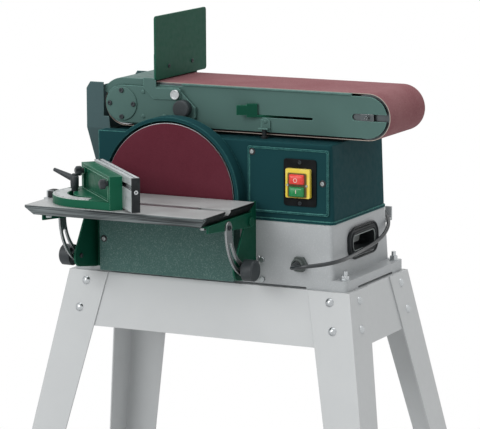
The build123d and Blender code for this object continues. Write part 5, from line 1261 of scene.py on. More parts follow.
@dataclass
class SubAssembly:
    """What the sub-assemblies share: the finishes, the fitting press and the CAD nodes that they dress."""

    shop: PaintShop
    press: FittingPress
    nodes: tuple[str, ...] = ()

    def dress(self) -> None:
        """Gives the CAD nodes their slots' finishes."""
        for node in self.nodes:
            self.shop.dress_node(node)

    def build(self) -> None:
        """Adds the pieces that the CAD nodes don't have, where there are any."""

    def add(self, name: str, mesh: Mesh, body: str, slot: Slot, finish: Finish | None = None) -> Piece:
        """Adds a finished mesh as a piece, in its slot's finish or one of its own."""
        mesh.materials.append(self.shop.coat(slot, finish))
        return mesh_piece(name, mesh, body)


@dataclass
class SheetStand(SubAssembly):
    """Splayed sheet stand with its rails, bolts and rubber pads."""

    nodes: tuple[str, ...] = ("stand_legs", "stand_rails", "stand_bolts", "rubber_feet")


@dataclass
class BaseCasting(SubAssembly):
    """Cast base with its carrying handles, cable gland and bracket bolts."""

    nodes: tuple[str, ...] = ("base_casting", "carry_handles")
    # Dusty dark grey, with edges painted paler as a highlight
    gland: Finish = Moulded("grey_nylon_gland", "#4b5351", 1.2, dust_and_edge_highlight="#8b9391", roughness=0.45)
    # Grey line painted round the handle's mouth as a highlight on the black nylon
    highlight_lip: Finish = Moulded("painted_highlight_nylon_lip", "#7e8785", 0.4, roughness=0.3)
    # Pale grey painted on the back of the handle's cup so that it looks lit in the shade there: painted light
    painted_light_cup_back: Finish = Moulded("painted_light_nylon_cup", "#c2c8c6", 0.6, roughness=0.55)
    mouth: Flat = (92.0, 26.0)
    mouth_corner: float = 9.0
    handle_y: float = 3.0
    handle_z: float = 672.0
    rim_x: float = 249.0
    rim_grow: Flat = (4.5, 14.0)
    rim_r: float = 2.0
    lip_grow: float = 0.6
    lip_r: float = 1.1
    back_x: float = 219.6
    back_inset: float = 3.0
    back_sheet: float = 0.8
    draft: float = 4.0 / 115.7
    bolt_x: Flat = (-237.0, 109.5)
    bolt_z: Flat = (610.8, 646.2)
    base_front: float = -122.0
    nose: tuple[Flat, ...] = ((8.0, 0.0), (11.2, 0.0), (10.6, 1.2), (8.8, 1.5), (8.0, 0.8))
    nose_place: Point = (183.5, -137.0, 644.4)

    def dress(self) -> None:
        """Finishes the base's CAD nodes, with the gland in its own grey."""
        super().dress()
        self.shop.dress_node("cable_gland", self.gland)

    def rim(self, side: int, grow: float) -> list[Point]:
        """Rounded loop round a handle's mouth, on the drafted end.

        Args:
            side: 1 for the right end and -1 for the left.
            grow: how far outside the mouth it runs, in millimetres.

        Returns:
            Its points in millimetres.
        """
        half_y, half_z = (size / 2 + grow for size in self.mouth)
        loop = rounded_loop(half_y, half_z, self.mouth_corner + grow)
        return [(side * (self.rim_x - self.draft * v), self.handle_y + u, self.handle_z + v) for u, v in loop]

    def build(self) -> None:
        """Adds the handles' rims, lips and backs, the bolts beside the brackets and the gland's nose."""
        ends = ((-1, LEFT), (1, RIGHT))
        rims = [self.rim(side, grow) for side, _ in ends for grow in self.rim_grow]
        self.press.bead("handle_rims", rims, self.rim_r, "frame", Slot.BLACK_PLASTIC)
        lips = [self.rim(side, self.lip_grow) for side, _ in ends]
        # Grey lip beads: a painted highlight round each handle's mouth
        self.press.bead("handle_lips", lips, self.lip_r, "frame", Slot.BLACK_PLASTIC, self.highlight_lip)
        half_y, half_z = (size / 2 - self.back_inset for size in self.mouth)
        loop = rounded_loop(half_y, half_z, self.mouth_corner - self.back_inset)
        pad = plate([(v, u, 0.0) for u, v in loop], (0.0, 0.0, self.back_sheet))
        backs = [((side * self.back_x, self.handle_y, self.handle_z), turn) for side, turn in ends]
        # Pale pads at the back of each cup: painted light against the cup's shade
        self.press.set_out("handle_backs", pad, backs, "frame", Slot.BLACK_PLASTIC, self.painted_light_cup_back)
        spots = [(x, z) for x in self.bolt_x for z in self.bolt_z]
        self.press.fasten("bracket_bolts", HEX_BOLT, on_wall(self.base_front, spots, FRONT), "frame")
        nose = moved(lathe(self.nose, closed=True), self.nose_place, FRONT)
        self.add("gland_nose", nose, "frame", Slot.BLACK_PLASTIC, self.gland)


@dataclass
class Housing(SubAssembly):
    """Motor housing with the disc's cover, the switch and the drive at the rear."""

    nodes: tuple[str, ...] = (
        "motor_housing", "disc_housing", "disc_lower_cover", "switch_panel", "switch_body", "motor_body",
        "motor_rotor", "motor_pulley", "drum_pulley", "drive_belt", "drive_cover", "arm_bracket", "arm_rest",
    )
    # Dull greyed green with paler folds
    hood: Finish = Enamel(
        "hood_green_enamel", "#45595b", 2.0, worn_and_highlight_edge="#7fa39f", edge_wear_and_highlight=0.7, roughness=0.5, cloud=0.06, gloss=0.05
    )
    # Near-black, with edges painted paler as a highlight
    switch_back: Finish = Moulded(
        "black_switch_plate", "#0b0d0e", 0.8, dust_and_edge_highlight="#3a3f42", roughness=0.45, gloss=0.1
    )
    # Black ring round each screw
    cup: Finish = Moulded("black_screw_cup", "#121516", 0.4, roughness=0.4)
    # Brownish yellow: a flat plate of painted shade where the switch has its recess
    well: Finish = Moulded("shaded_yellow_abs", "#4a3c10", 0.4, dust_and_edge_highlight="#7d6a24", roughness=0.5)
    # Darker yellow for painted shade on the recess's edge, with edges painted paler as a highlight
    painted_shade_well_rim: Finish = Moulded("painted_shade_yellow_rim", "#a98d22", 0.4, dust_and_edge_highlight="#e8d560", roughness=0.35)
    # Warm off-white
    pale_mark: Finish = Moulded("pale_switch_mark", "#f0d8cf", 0.2, roughness=0.5)
    panel_seat: float = -116.5
    panel_screws: tuple[Flat, ...] = ((87.2, 836.9), (223.9, 788.3))
    cover_screw: Point = (-196.0, -147.0, 665.0)
    cup_profile: tuple[Flat, ...] = ((2.4, 0.0), (6.2, 0.0), (6.2, 0.5), (4.8, 1.5), (2.4, 0.9))
    cup_floor: float = 0.8
    plate_front: float = -119.0
    plate_screws: tuple[Flat, ...] = ((181.25, 751.4), (181.25, 823.6))
    switch_front: float = -126.5
    switch_screw_seat: float = -127.0
    well_middle: Flat = (179.7, 784.0)
    well_half: Flat = (18.4, 21.6)
    well_corner: float = 3.0
    well_rim_r: float = 0.8
    film: float = 0.3
    cap_gap: float = 0.2
    cap_corner: float = 2.6
    # Distance behind the button's front, inset and drop of each ring of its cap
    cap_steps: tuple[Point, ...] = ((3.4, 0.0, 0.0), (0.7, 1.6, 0.7), (0.0, 2.8, 1.0))
    button_front: float = -132.0
    stop_mark: Flat = (178.2, 793.4)
    stop_ring_r: float = 3.3
    stop_line_r: float = 0.5
    start_mark: Flat = (179.3, 773.4)
    start_bar_half: Flat = (0.6, 3.0)
    start_bar_corner: float = 0.5
    cover_rear: float = 140.0
    rear_screws: tuple[Flat, ...] = ((-205.4, 921.5), (-48.7, 733.1), (-108.0, 845.1), (-148.0, 811.9))
    housing_rear: float = 110.0
    louvre_x: float = 125.0
    louvre_low: float = 748.0
    louvre_pitch: float = 15.0
    louvre_count: int = 6
    louvre_half: float = 4.5
    louvre_sink: float = 0.3
    louvre_lip: tuple[Flat, ...] = ((-4.5, 2.9), (-3.2, 3.3), (4.5, 0.3))
    # Half length of each ring of a louvre and share of its full height
    louvre_steps: tuple[Flat, ...] = ((38.0, 0.1), (35.0, 0.7), (29.0, 1.0))

    def dress(self) -> None:
        """Finishes the housing's CAD nodes, with the hood and the switch's plate in their own tones."""
        super().dress()
        self.shop.dress_node("dust_hood", self.hood)
        self.shop.dress_node("switch_plate", self.switch_back)

    def button_cap(self, node: str, slot: Slot) -> None:
        """Bevelled cap that stands for one push button.

        Args:
            node: the button's CAD node, which is also its body.
            slot: its record slot.
        """
        low, high = box_mm(node)
        middle = (low + high) / 2
        half = (high - low) / 2
        steps = [(high.y - self.cap_gap, 0.0, 0.0)]
        steps += [(low.y + behind, inset, drop) for behind, inset, drop in self.cap_steps]
        rings = []
        for y, inset, drop in steps:
            loop = rounded_loop(half.x - inset, half.z - inset, self.cap_corner)
            rings.append(upright(loop, (middle.x, y, middle.z - drop)))
        cap = self.add(node + "_cap", loft(rings), node, slot)
        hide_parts(node)

    def build_switch(self) -> None:
        """Adds the switch's well as a plate in painted shade, its rim and screws, the buttons' caps and their
        marks.
        """
        thin = (0.0, -self.film, 0.0)
        x, z = self.well_middle
        loop = upright(rounded_loop(*self.well_half, self.well_corner), (x, self.switch_front, z))
        # A flat plate in painted shade stands in for the switch's recess
        self.add("switch_well", plate(loop, thin), "frame", Slot.SWITCH_YELLOW, self.well)
        rim_r = self.well_rim_r
        self.press.bead("switch_well_rim", [loop], rim_r, "frame", Slot.SWITCH_YELLOW, self.painted_shade_well_rim)
        ends = [(x + side * self.well_half[0], z) for side in (-1, 1)]
        seats = on_wall(self.switch_screw_seat, ends, FRONT)
        self.press.fasten("switch_screws", SWITCH_SCREW, seats, "frame")
        self.button_cap("stop_button", Slot.STOP_RED)
        self.button_cap("start_button", Slot.START_GREEN)
        x, z = self.stop_mark
        round_line = [(u, v) for u, v, _ in ring(self.stop_ring_r, 0.0, sides=24)]
        circle = upright(round_line, (x, self.button_front, z))
        line_r = self.stop_line_r
        self.press.bead("stop_mark", [circle], line_r, "stop_button", Slot.STOP_RED, self.pale_mark)
        x, z = self.start_mark
        bar = rounded_loop(*self.start_bar_half, self.start_bar_corner)
        mark = plate(upright(bar, (x, self.button_front, z)), thin)
        self.add("start_mark", mark, "start_button", Slot.START_GREEN, self.pale_mark)

    def louvre(self) -> Mesh:
        """One pressed louvre that opens downward, with its height along X and its length along Y.

        Returns:
            Its mesh, seated on the wall.
        """
        first = [(-y, rise) for y, rise in self.louvre_steps]
        tall = self.louvre_half
        rings = []
        for y, rise in first + list(reversed(self.louvre_steps)):
            foot = [(x, y, -self.louvre_sink) for x in (tall, -tall)]
            rings.append(foot + [(x, y, z * rise) for x, z in self.louvre_lip])
        return loft(rings)

    def build(self) -> None:
        """Adds the screws of the panel and covers, the switch's details and the louvres at the rear."""
        spots = on_wall(self.panel_seat, self.panel_screws, FRONT) + [(self.cover_screw, FRONT)]
        dish = lathe(self.cup_profile, closed=True)
        self.press.set_out("screw_cups", dish, spots, "frame", Slot.BLACK_PLASTIC, self.cup)
        raised = [((x, y - self.cup_floor, z), turn) for (x, y, z), turn in spots]
        heads = self.press.fasten("panel_screws", PAN_HEAD, raised, "frame")
        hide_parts("cover_screws")
        dark_head = replace(PAN_HEAD, slot=Slot.BLACK_PLASTIC, finish=BLACK_OXIDE)
        dark = on_wall(self.plate_front, self.plate_screws, FRONT)
        self.press.fasten("plate_screws", dark_head, dark, "frame")
        rear = on_wall(self.cover_rear, self.rear_screws, REAR)
        self.press.fasten("rear_screws", PAN_HEAD, rear, "frame")
        levels = [self.louvre_low + number * self.louvre_pitch for number in range(self.louvre_count)]
        vents = on_wall(self.housing_rear, [(self.louvre_x, z) for z in levels], REAR)
        self.press.set_out("rear_louvres", self.louvre(), vents, "frame", Slot.DEEP_GREEN)
        self.build_switch()


@dataclass
class DiscSander(SubAssembly):
    """Turned disc plate with its abrasive."""

    # Dark maroon with few pale grains
    grit: Finish = GritCloth(
        "maroon_disc_grit", "#5c2531", pale="#74404c", dark="#34141b", grain_mm=1.2, pale_share=0.25
    )
    # Fine rings that fan the highlights about the centre
    turned: BareMetal = BareMetal(
        "face_turned_aluminium", "#b4b7b9", 0.6, roughness=0.34, lay=Lay.ROUND, mark_mm=1.4,
        turn=(math.pi / 2, 0.0, 0.0),
    )

    def dress(self) -> None:
        """Finishes the disc's CAD nodes, with the plate's rings about its own centre."""
        low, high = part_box("disc_plate")
        self.shop.dress_node("disc_plate", replace(self.turned, centre=tuple((low + high) / 2 / MM)))
        self.shop.dress_node("abrasive_disc", self.grit)


@dataclass
class BeltArm(SubAssembly):
    """Tilting belt arm with its plates, drums, belt, tension gear and work stop."""

    nodes: tuple[str, ...] = (
        "arm_front_plate", "arm_rear_plate", "end_plate", "drum_cover", "drive_drum", "drum_bearings",
        "tension_lever", "sanding_belt", "tracking_knob", "belt_guard", "work_stop", "stop_bracket",
    )
    dark_nodes: tuple[str, ...] = ("platen", "idler_drum", "idler_axle")
    # Dark grey metal with darker patches
    dark_steel: Finish = BareMetal(
        "dark_slide_steel", "#565c5e", 0.6, roughness=0.4, stain="#2d3133", edge_highlight_share=0.5
    )
    cover_front: float = -86.5
    cover_screws: tuple[Flat, ...] = ((-214.0, 903.0), (-190.0, 879.0), (-190.0, 927.0), (-166.0, 903.0))
    spring_wire_r: float = 1.25
    spring_turns: int = 8
    spring_steps: int = 20
    spring_stroke: float = 10.0
    end_front: float = -84.0
    rivets: tuple[Flat, ...] = ((-147.0, 926.0), (-147.0, 882.0), (-104.0, 884.0))
    bolt_place: Point = (-79.0, -87.0, 925.0)
    bolt: tuple[Flat, ...] = ((9.0, 0.0), (9.0, 5.0), (8.3, 5.8), (6.4, 5.8), (6.0, 5.2), (0.0, 5.2))
    stop_screws: tuple[Point, ...] = ((-117.0, -40.8, 970.0), (-117.0, 49.2, 970.0))
    axle_screw: Point = (291.0, -81.0, 903.0)
    arm_front: float = -77.0
    # X and Z of the clip's corners
    clip: tuple[Flat, ...] = (
        (88.0, 868.0), (88.0, 885.0), (91.0, 890.0), (96.0, 891.8), (101.5, 890.0),
        (104.5, 885.0), (104.5, 868.0),
    )
    clip_rivet: Flat = (95.5, 885.5)
    clip_sheet: float = 3.2

    def dress(self) -> None:
        """Finishes the arm's CAD nodes, with the slides and the idler in dark steel."""
        super().dress()
        for node in self.dark_nodes:
            self.shop.dress_node(node, self.dark_steel)

    def build(self) -> None:
        """Adds the arm's screws, rivets and bolt, the clip that meets the rest, and the spring."""
        lids = on_wall(self.cover_front, self.cover_screws, FRONT)
        screws = self.press.fasten("drum_cover_screws", SOCKET_HEAD, lids, "arm")
        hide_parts("arm_fasteners")
        clip_front = self.arm_front - self.clip_sheet
        domes = on_wall(self.end_front, self.rivets, FRONT) + on_wall(clip_front, [self.clip_rivet], FRONT)
        self.press.fasten("arm_rivets", RIVET, domes, "arm")
        bolt = moved(lathe(self.bolt), self.bolt_place, FRONT)
        self.add("stop_bolt", bolt, "arm", Slot.BRIGHT_ZINC)
        dark_head = replace(PAN_HEAD, slot=Slot.STEEL, finish=BLACK_OXIDE)
        self.press.fasten("work_stop_screws", dark_head, [(spot, RIGHT) for spot in self.stop_screws], "arm")
        axle_head = replace(PAN_HEAD, slot=Slot.STEEL, finish=self.dark_steel, turn_deg=0.0)
        self.press.fasten("axle_screw", axle_head, [(self.axle_screw, FRONT)], "idler_yoke")
        outline = [(x, self.arm_front, z) for x, z in self.clip]
        clip = plate(outline, (0.0, -self.clip_sheet, 0.0))
        self.add("rest_clip", clip, "arm", Slot.ARM_GREEN)
        self.build_spring()

    def build_spring(self) -> None:
        """Adds the coil spring between its seat and the idler's yoke."""
        low, high = box_mm("tension_spring")
        middle = (low + high) / 2
        coil_r = (high.z - low.z) / 2 - self.spring_wire_r
        first = low.x + self.spring_wire_r
        run = high.x - low.x - 2 * self.spring_wire_r
        steps = self.spring_steps * self.spring_turns
        path = []
        for step in range(steps + 1):
            angle = 2 * math.pi * self.spring_turns * step / steps
            along = first + run * step / steps
            path.append((along, middle.y + coil_r * math.cos(angle), middle.z + coil_r * math.sin(angle)))
        spring = self.press.bead("coil_spring", [path], self.spring_wire_r, "arm", Slot.STEEL, closed=False)
        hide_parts("tension_spring")
        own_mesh(spring)


@dataclass
class TiltTable(SubAssembly):
    """Disc table with its arms, quadrants, brackets and lock knobs."""

    nodes: tuple[str, ...] = (
        "table", "table_arms", "tilt_quadrants", "trunnion_brackets", "lock_knob_left", "lock_knob_right",
    )
    flange_under: float = 731.3
    flange_bolts: tuple[Flat, ...] = ((88.5, -308.0), (88.5, -196.0), (-215.0, -308.0), (-215.0, -196.0))
    quadrant_pin: Flat = (-238.9, 721.0)
    quadrant_sides: Flat = (-230.0, 103.4)

    def build(self) -> None:
        """Adds the bolts under the table's arms and at the quadrants' upper ends."""
        under = [((x, y, self.flange_under), DOWN) for x, y in self.flange_bolts]
        self.press.fasten("table_bolts", HEX_BOLT, under, "table")
        pins = [((x, *self.quadrant_pin), turn) for x, turn in zip(self.quadrant_sides, (LEFT, RIGHT))]
        self.press.fasten("quadrant_bolts", SOCKET_HEAD, pins, "table")


@dataclass
class MitreGauge(SubAssembly):
    """Mitre gauge with its bar, head, lever, fence and knobs."""

    nodes: tuple[str, ...] = ("mitre_bar", "fence", "fence_end_caps")
    # Pure green with corners painted pale as a highlight and wear
    casting: Finish = Enamel(
        "mitre_green_enamel", "#0d523b", 1.2, worn_and_highlight_edge="#8cc7ae", edge_wear_and_highlight=0.75, roughness=0.42, gloss=0.14
    )
    # The same green with no pale edge, so that it joins the head unseen
    flank: Finish = Enamel("mitre_flank_enamel", "#0d523b", 0.3, edge_wear_and_highlight=0.0, roughness=0.42, gloss=0.14)
    # Pale green line painted round the upright's pocket as a highlight
    highlight_seam: Finish = Enamel("painted_highlight_green_enamel", "#8fbda8", 0.3, worn_and_highlight_edge="#d5e6dd", roughness=0.4)
    # Satin silver with milled rings about the pivot
    scale_metal: Finish = BareMetal(
        "milled_scale_ring", "#c4c8c8", 0.4, roughness=0.42, lay=Lay.ROUND, mark_mm=1.6,
        centre=(-146.0, -246.0, 766.8),
    )
    # Near-black lines
    tick_paint: Finish = Moulded("black_scale_tick", "#23282a", 0.1, roughness=0.6)
    pivot: Flat = (-146.0, -246.0)
    turn_deg: float = 45.0
    head_floor: float = 752.8
    head_top: float = 766.8
    scale_r: Flat = (58.5, 83.2)
    scale_z: Flat = (-0.3, 0.22)
    scale_half_deg: int = 60
    scale_step_deg: int = 3
    tick_half: float = 0.3
    tick_depth: float = 0.25
    tick_sink: float = 0.1
    tick_margin: float = 1.5
    # Name, length and step in degrees
    ticks: tuple[tuple[str, float, int], ...] = (("short", 4.0, 5), ("long", 8.0, 15))
    post: Point = (-198.0, -246.0, 767.1)
    # Radius and height of the lever's hub
    hub: tuple[Flat, ...] = (
        (0.0, 0.0), (6.0, 0.0), (6.0, 4.0), (7.3, 6.0), (7.6, 14.0), (7.6, 24.5), (6.6, 26.2), (4.4, 26.4),
        (4.4, 29.6), (3.8, 30.4), (0.0, 30.5),
    )
    lever_root: Point = (-200.0, -246.0, 788.4)
    lever_tip: Point = (-240.0, -246.0, 802.4)
    # Share of the way to the lever's tip, and radius there
    lever_steps: tuple[Flat, ...] = ((0.0, 7.0), (0.25, 6.2), (0.6, 4.9), (0.97, 3.6), (1.0, 3.0))
    lever_section: Flat = (0.9, 0.8)
    index_low: Point = (-248.5, -255.8, 752.6)
    index_high: Point = (-235.5, -236.2, 766.2)
    index_corner: float = 2.6
    # Distance below the index block's top, and inset there
    index_steps: tuple[Flat, ...] = ((2.5, 0.0), (0.7, 0.9), (0.0, 2.4))
    cap_ends: Flat = (-169.0, 68.0)
    cap_screw: Flat = (15.95, 39.0)
    cap_collar: tuple[Flat, ...] = ((1.6, 0.0), (3.8, 0.0), (3.6, 0.9), (2.4, 1.3), (1.6, 0.9))
    upright_back: float = -14.3
    upright_end: float = -110.0
    head_r: float = 84.0
    flank_run: float = 30.0
    flank_gap: float = 0.2
    pocket_y: Flat = (-99.0, 61.0)
    pocket_z: Flat = (767.1, 806.3)
    pocket_bead_r: float = 0.4
    knob_y: Flat = (58.0, -100.0)
    knob_z: float = 798.8
    knob_sides: int = 48
    knob_lobes: int = 3
    # Distance behind the upright, mean radius and height of the lobes
    knob: tuple[Point, ...] = (
        (0.3, 4.6, 0.0), (4.4, 4.8, 0.0), (5.2, 7.2, 1.5), (6.4, 7.8, 1.8), (13.4, 7.8, 1.8),
        (15.0, 6.9, 1.5), (15.6, 5.4, 1.1),
    )

    def spot(self, u: float, v: float, z: float) -> Point:
        """Point of the machine at a place of the turned gauge.

        Args:
            u: how far it lies from the pivot towards the fence.
            v: how far it lies along the fence.
            z: its height over the floor.

        Returns:
            The point in millimetres.
        """
        turn = math.radians(self.turn_deg)
        x = self.pivot[0] + u * math.cos(turn) - v * math.sin(turn)
        y = self.pivot[1] + u * math.sin(turn) + v * math.cos(turn)
        return (x, y, z)

    def polar(self, radius: float, degrees: float, z: float) -> Point:
        """Point at a radius and an angle from the gauge's middle line."""
        angle = math.radians(180 + degrees)
        return self.spot(radius * math.cos(angle), radius * math.sin(angle), z)

    def dress(self) -> None:
        """Finishes the gauge's CAD nodes, with the head in its own green."""
        super().dress()
        self.shop.dress_node("mitre_head", self.casting)

    def build_scale(self) -> None:
        """Adds the milled ring on the head and its degree ticks."""
        inner, outer = self.scale_r
        low, high = (self.head_top + lift for lift in self.scale_z)
        corners = ((inner, low), (outer, low), (outer, high), (inner, high))
        ends = (-self.scale_half_deg, self.scale_half_deg + 1)
        angles = range(*ends, self.scale_step_deg)
        scale = loft([[self.polar(radius, angle, z) for radius, z in corners] for angle in angles])
        self.add("mitre_scale", scale, "mitre_head", Slot.FENCE_METAL, self.scale_metal)
        wide = self.tick_half
        for name, reach, step in self.ticks:
            size = ((-wide, 0.0), (wide, 0.0), (wide, reach), (-wide, reach))
            tick = plate([(-v, u, -self.tick_sink) for u, v in size], (0.0, 0.0, self.tick_depth))
            spots = []
            for angle in range(*ends, step):
                turn = Matrix.Rotation(math.radians(180 + self.turn_deg + angle), 3, "Z")
                spots.append((self.polar(outer - self.tick_margin, angle, high), turn))
            self.press.set_out(
                name + "_ticks", tick, spots, "mitre_head", Slot.BLACK_PLASTIC, self.tick_paint
            )

    def build_lever(self) -> None:
        """Clamping lever: a stepped hub and a tapered arm."""
        hub = moved(lathe(self.hub), self.post, Matrix.Identity(3))
        root = Vector(self.lever_root)
        tip = Vector(self.lever_tip)
        turn = stance(tip - root)
        wide, tall = self.lever_section
        rings = []
        for share, radius in self.lever_steps:
            centre = root.lerp(tip, share)
            section = [Vector((wide * x, tall * y, 0.0)) for x, y, _ in ring(radius, 0.0, sides=20)]
            rings.append([tuple(centre + turn @ corner) for corner in section])
        both = bmesh.new()
        both.from_mesh(hub)
        both.from_mesh(loft(rings))
        grip = self.add("mitre_lever_grip", settle_mesh(both), "mitre_lever", Slot.KNOB_PLASTIC)
        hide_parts("mitre_lever")

    def build_knobs(self) -> None:
        """Two lobed knobs on necks behind the upright."""
        turns = [2 * math.pi * step / self.knob_sides for step in range(self.knob_sides)]
        for side, along in zip(("left", "right"), self.knob_y):
            rings = []
            for out, radius, lobe in self.knob:
                loop = []
                for turn in turns:
                    reach = radius + lobe * math.cos(self.knob_lobes * turn)
                    loop.append((along + reach * math.cos(turn), self.knob_z + reach * math.sin(turn)))
                rings.append([self.spot(self.upright_back - out, v, z) for v, z in loop])
            node = "fence_knob_" + side
            knob = self.add(node + "_grip", loft(rings), node, Slot.KNOB_PLASTIC)
            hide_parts(node)

    def build_casting(self) -> None:
        """Adds the head's flank up to the upright's end and the pale rim, a painted highlight, of the
        upright's pocket.
        """
        corner = Vector((self.upright_back, self.upright_end))
        turn = math.atan2(corner.y, corner.x) - math.acos(self.head_r / corner.length)
        touch = (self.head_r * math.cos(turn), self.head_r * math.sin(turn))
        inner = (self.upright_back, self.upright_end + self.flank_run)
        floor = self.head_floor + self.flank_gap
        outline = [self.spot(u, v, floor) for u, v in (tuple(corner), touch, inner)]
        flank = plate(outline, (0.0, 0.0, self.head_top - self.head_floor - 2 * self.flank_gap))
        self.add("head_flank", flank, "mitre_head", Slot.BRACKET_GREEN, self.flank)
        low, high = self.pocket_y
        floor, top = self.pocket_z
        mouth = ((low, floor), (high, floor), (high, top), (low, top))
        rim = [self.spot(self.upright_back, v, z) for v, z in mouth]
        bead_r = self.pocket_bead_r
        # Pale bead along the pocket's rim: a painted highlight
        self.press.bead("pocket_rim", [rim], bead_r, "mitre_head", Slot.BRACKET_GREEN, self.highlight_seam)

    def build_index(self) -> None:
        """Adds the rounded cap of the bar's index block."""
        low = Vector(self.index_low)
        high = Vector(self.index_high)
        middle = (low + high) / 2
        half = (high - low) / 2
        rings = []
        for z, inset in [(low.z, 0.0)] + [(high.z - drop, inset) for drop, inset in self.index_steps]:
            loop = rounded_loop(half.x - inset, half.y - inset, self.index_corner)
            rings.append([(middle.x + u, middle.y + v, z) for u, v in loop])
        self.add("index_cap", loft(rings), "mitre_bar", Slot.BLACK_PLASTIC)

    def build(self) -> None:
        """Adds the scale, lever, knobs and flank, the index block's cap and the end caps' screws."""
        self.build_scale()
        self.build_lever()
        self.build_knobs()
        self.build_casting()
        self.build_index()
        u, rise = self.cap_screw
        ends = []
        for v in self.cap_ends:
            place = Vector(self.spot(u, v, self.head_floor + rise))
            outward = place - Vector(self.spot(u, 0.0, self.head_floor + rise))
            ends.append((tuple(place), stance(outward)))
        collar = lathe(self.cap_collar, sides=20, closed=True)
        self.press.set_out("fence_cap_screws", collar, ends, "mitre_head", Slot.BRIGHT_ZINC)


@dataclass
class MainsLead(SubAssembly):
    """Mains lead from the gland round the right end, over the rear hook and down to a tied coil and plug."""

    nodes: tuple[str, ...] = ("cord_plug",)
    deck: float = 600.0
    radius: float = 3.5
    length_m: float = 2.05
    round_steps: int = 4
    spline_steps: int = 6
    spline_order: int = 3
    # X, Y and height over the stand's deck
    route: tuple[Point, ...] = (
        (183.5, -137, 44.4), (183.5, -159, 44.4), (194.5, -177.5, 47), (212, -187, 52), (231.5, -186, 55),
        (251, -172.5, 57), (264, -150, 58.5), (268, -119, 59), (263.5, -81, 58), (259, -42, 58),
        (256.5, 0, 59), (256.5, 38, 62.5), (257, 73, 70), (253, 105, 84), (238, 128, 98.5),
        (213, 138, 108), (182.5, 141, 107.5), (161, 146, 87), (153.5, 155.5, 54), (152, 165, 8),
        (152, 171, -52), (153, 175, -135), (154, 179, -235), (153, 180, -320), (150, 180.5, -405),
        (143, 181, -480), (126, 180.5, -540), (98, 179, -578), (62, 177.5, -593), (26, 176, -596.4),
        (-13, 176, -596.4),
    )
    coil_centre: Flat = (-20.0, 133.0)
    coil_r: float = 43.0
    coil_pitch: float = 7.6
    coil_turns: float = 3.0
    coil_steps: int = 16
    floor_z: float = 3.6
    coil_step_up: float = 7.5
    tail: float = 30.0
    tie_deg: tuple[float, ...] = (246.0, 249.0, 252.0)
    tie_r: float = 0.8
    tie_gap: float = 0.1
    tie_corner: float = 3.0
    boot_back: float = 6.0
    # Radius and height of the strain relief
    boot: tuple[Flat, ...] = (
        (0.0, 0.0), (7.6, 0.0), (7.6, 8.0), (6.7, 8.8), (6.7, 10.4), (7.0, 11.0), (6.8, 13.0), (5.9, 13.8),
        (5.9, 15.4), (6.2, 16.0), (6.0, 18.0), (5.1, 18.8), (4.9, 20.6), (4.3, 22.0), (0.0, 22.0),
    )

    def coil_place(self, turns: float) -> Point:
        """Point of the coil, which winds in on the floor and out again one layer higher.

        Args:
            turns: how many turns have been wound.

        Returns:
            The point in millimetres.
        """
        half = self.coil_turns / 2
        reach = self.coil_r - self.coil_pitch * (half - abs(turns - half))
        angle = math.pi / 2 + 2 * math.pi * turns
        share = min(1.0, max(0.0, 2 * (turns - half) + 0.5))
        height = self.floor_z + self.coil_step_up * share * share * (3 - 2 * share)
        x, y = self.coil_centre
        return (x + reach * math.cos(angle), y + reach * math.sin(angle), height)

    def points(self) -> list[Point]:
        """Control points of the whole lead.

        Returns:
            The points, in millimetres from the floor.
        """
        made = [(x, y, z + self.deck) for x, y, z in self.route]
        count = int(self.coil_turns * self.coil_steps)
        made += [self.coil_place(number / self.coil_steps) for number in range(count + 1)]
        x, y, z = made[-1]
        return made + [(x - self.tail / 2, y, z), (x - self.tail, y, z)]

    def tie_loop(self, degrees: float) -> list[Point]:
        """Loop of the tie round the coil's turns, in an upright plane through the coil's centre.

        Args:
            degrees: the plane's angle.

        Returns:
            Its points in millimetres.
        """
        inner = self.coil_r - self.coil_pitch * self.coil_turns / 2 - self.radius
        outer = self.coil_r + self.radius
        top = self.floor_z + self.coil_step_up + self.radius + self.tie_r
        low = self.tie_r + self.tie_gap
        angle = math.radians(degrees)
        x, y = self.coil_centre
        loop = rounded_loop((outer - inner) / 2 + self.tie_r, (top - low) / 2, self.tie_corner, steps=4)
        spots = [((inner + outer) / 2 + u, (low + top) / 2 + v) for u, v in loop]
        return [(x + reach * math.cos(angle), y + reach * math.sin(angle), z) for reach, z in spots]

    def spline(self, points: Sequence[Point]) -> Piece:
        """The lead as one smooth spline with a round section.

        Args:
            points: its control points in millimetres.

        Returns:
            The lead's object.
        """
        curve = bpy.data.curves.new("mains_lead", "CURVE")
        curve.dimensions = "3D"
        curve.bevel_depth = self.radius * MM
        curve.bevel_resolution = self.round_steps
        curve.resolution_u = self.spline_steps
        curve.use_fill_caps = True
        spline = curve.splines.new("NURBS")
        spline.points.add(len(points) - 1)
        for point, place in zip(spline.points, points):
            point.co = (*(Vector(place) * MM), 1.0)
        spline.order_u = self.spline_order
        spline.use_endpoint_u = True
        curve.materials.append(self.shop.coat(Slot.CORD_SHEATH))
        return put("mains_lead", curve)

    def build(self) -> None:
        """Adds the lead, its strain relief and the coil's tie."""
        points = self.points()
        lead = self.spline(points)
        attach(lead, "frame")
        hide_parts("power_cord", "cord_coil")
        log.info("built mains_lead with %d points", len(points))
        x, y, z = points[0]
        relief = moved(lathe(self.boot, sides=24), (x, y + self.boot_back, z), FRONT)
        self.add("lead_boot", relief, "frame", Slot.CORD_SHEATH)
        ties = [self.tie_loop(degrees) for degrees in self.tie_deg]
        self.press.bead("coil_tie", ties, self.tie_r, "frame", Slot.BLACK_PLASTIC)


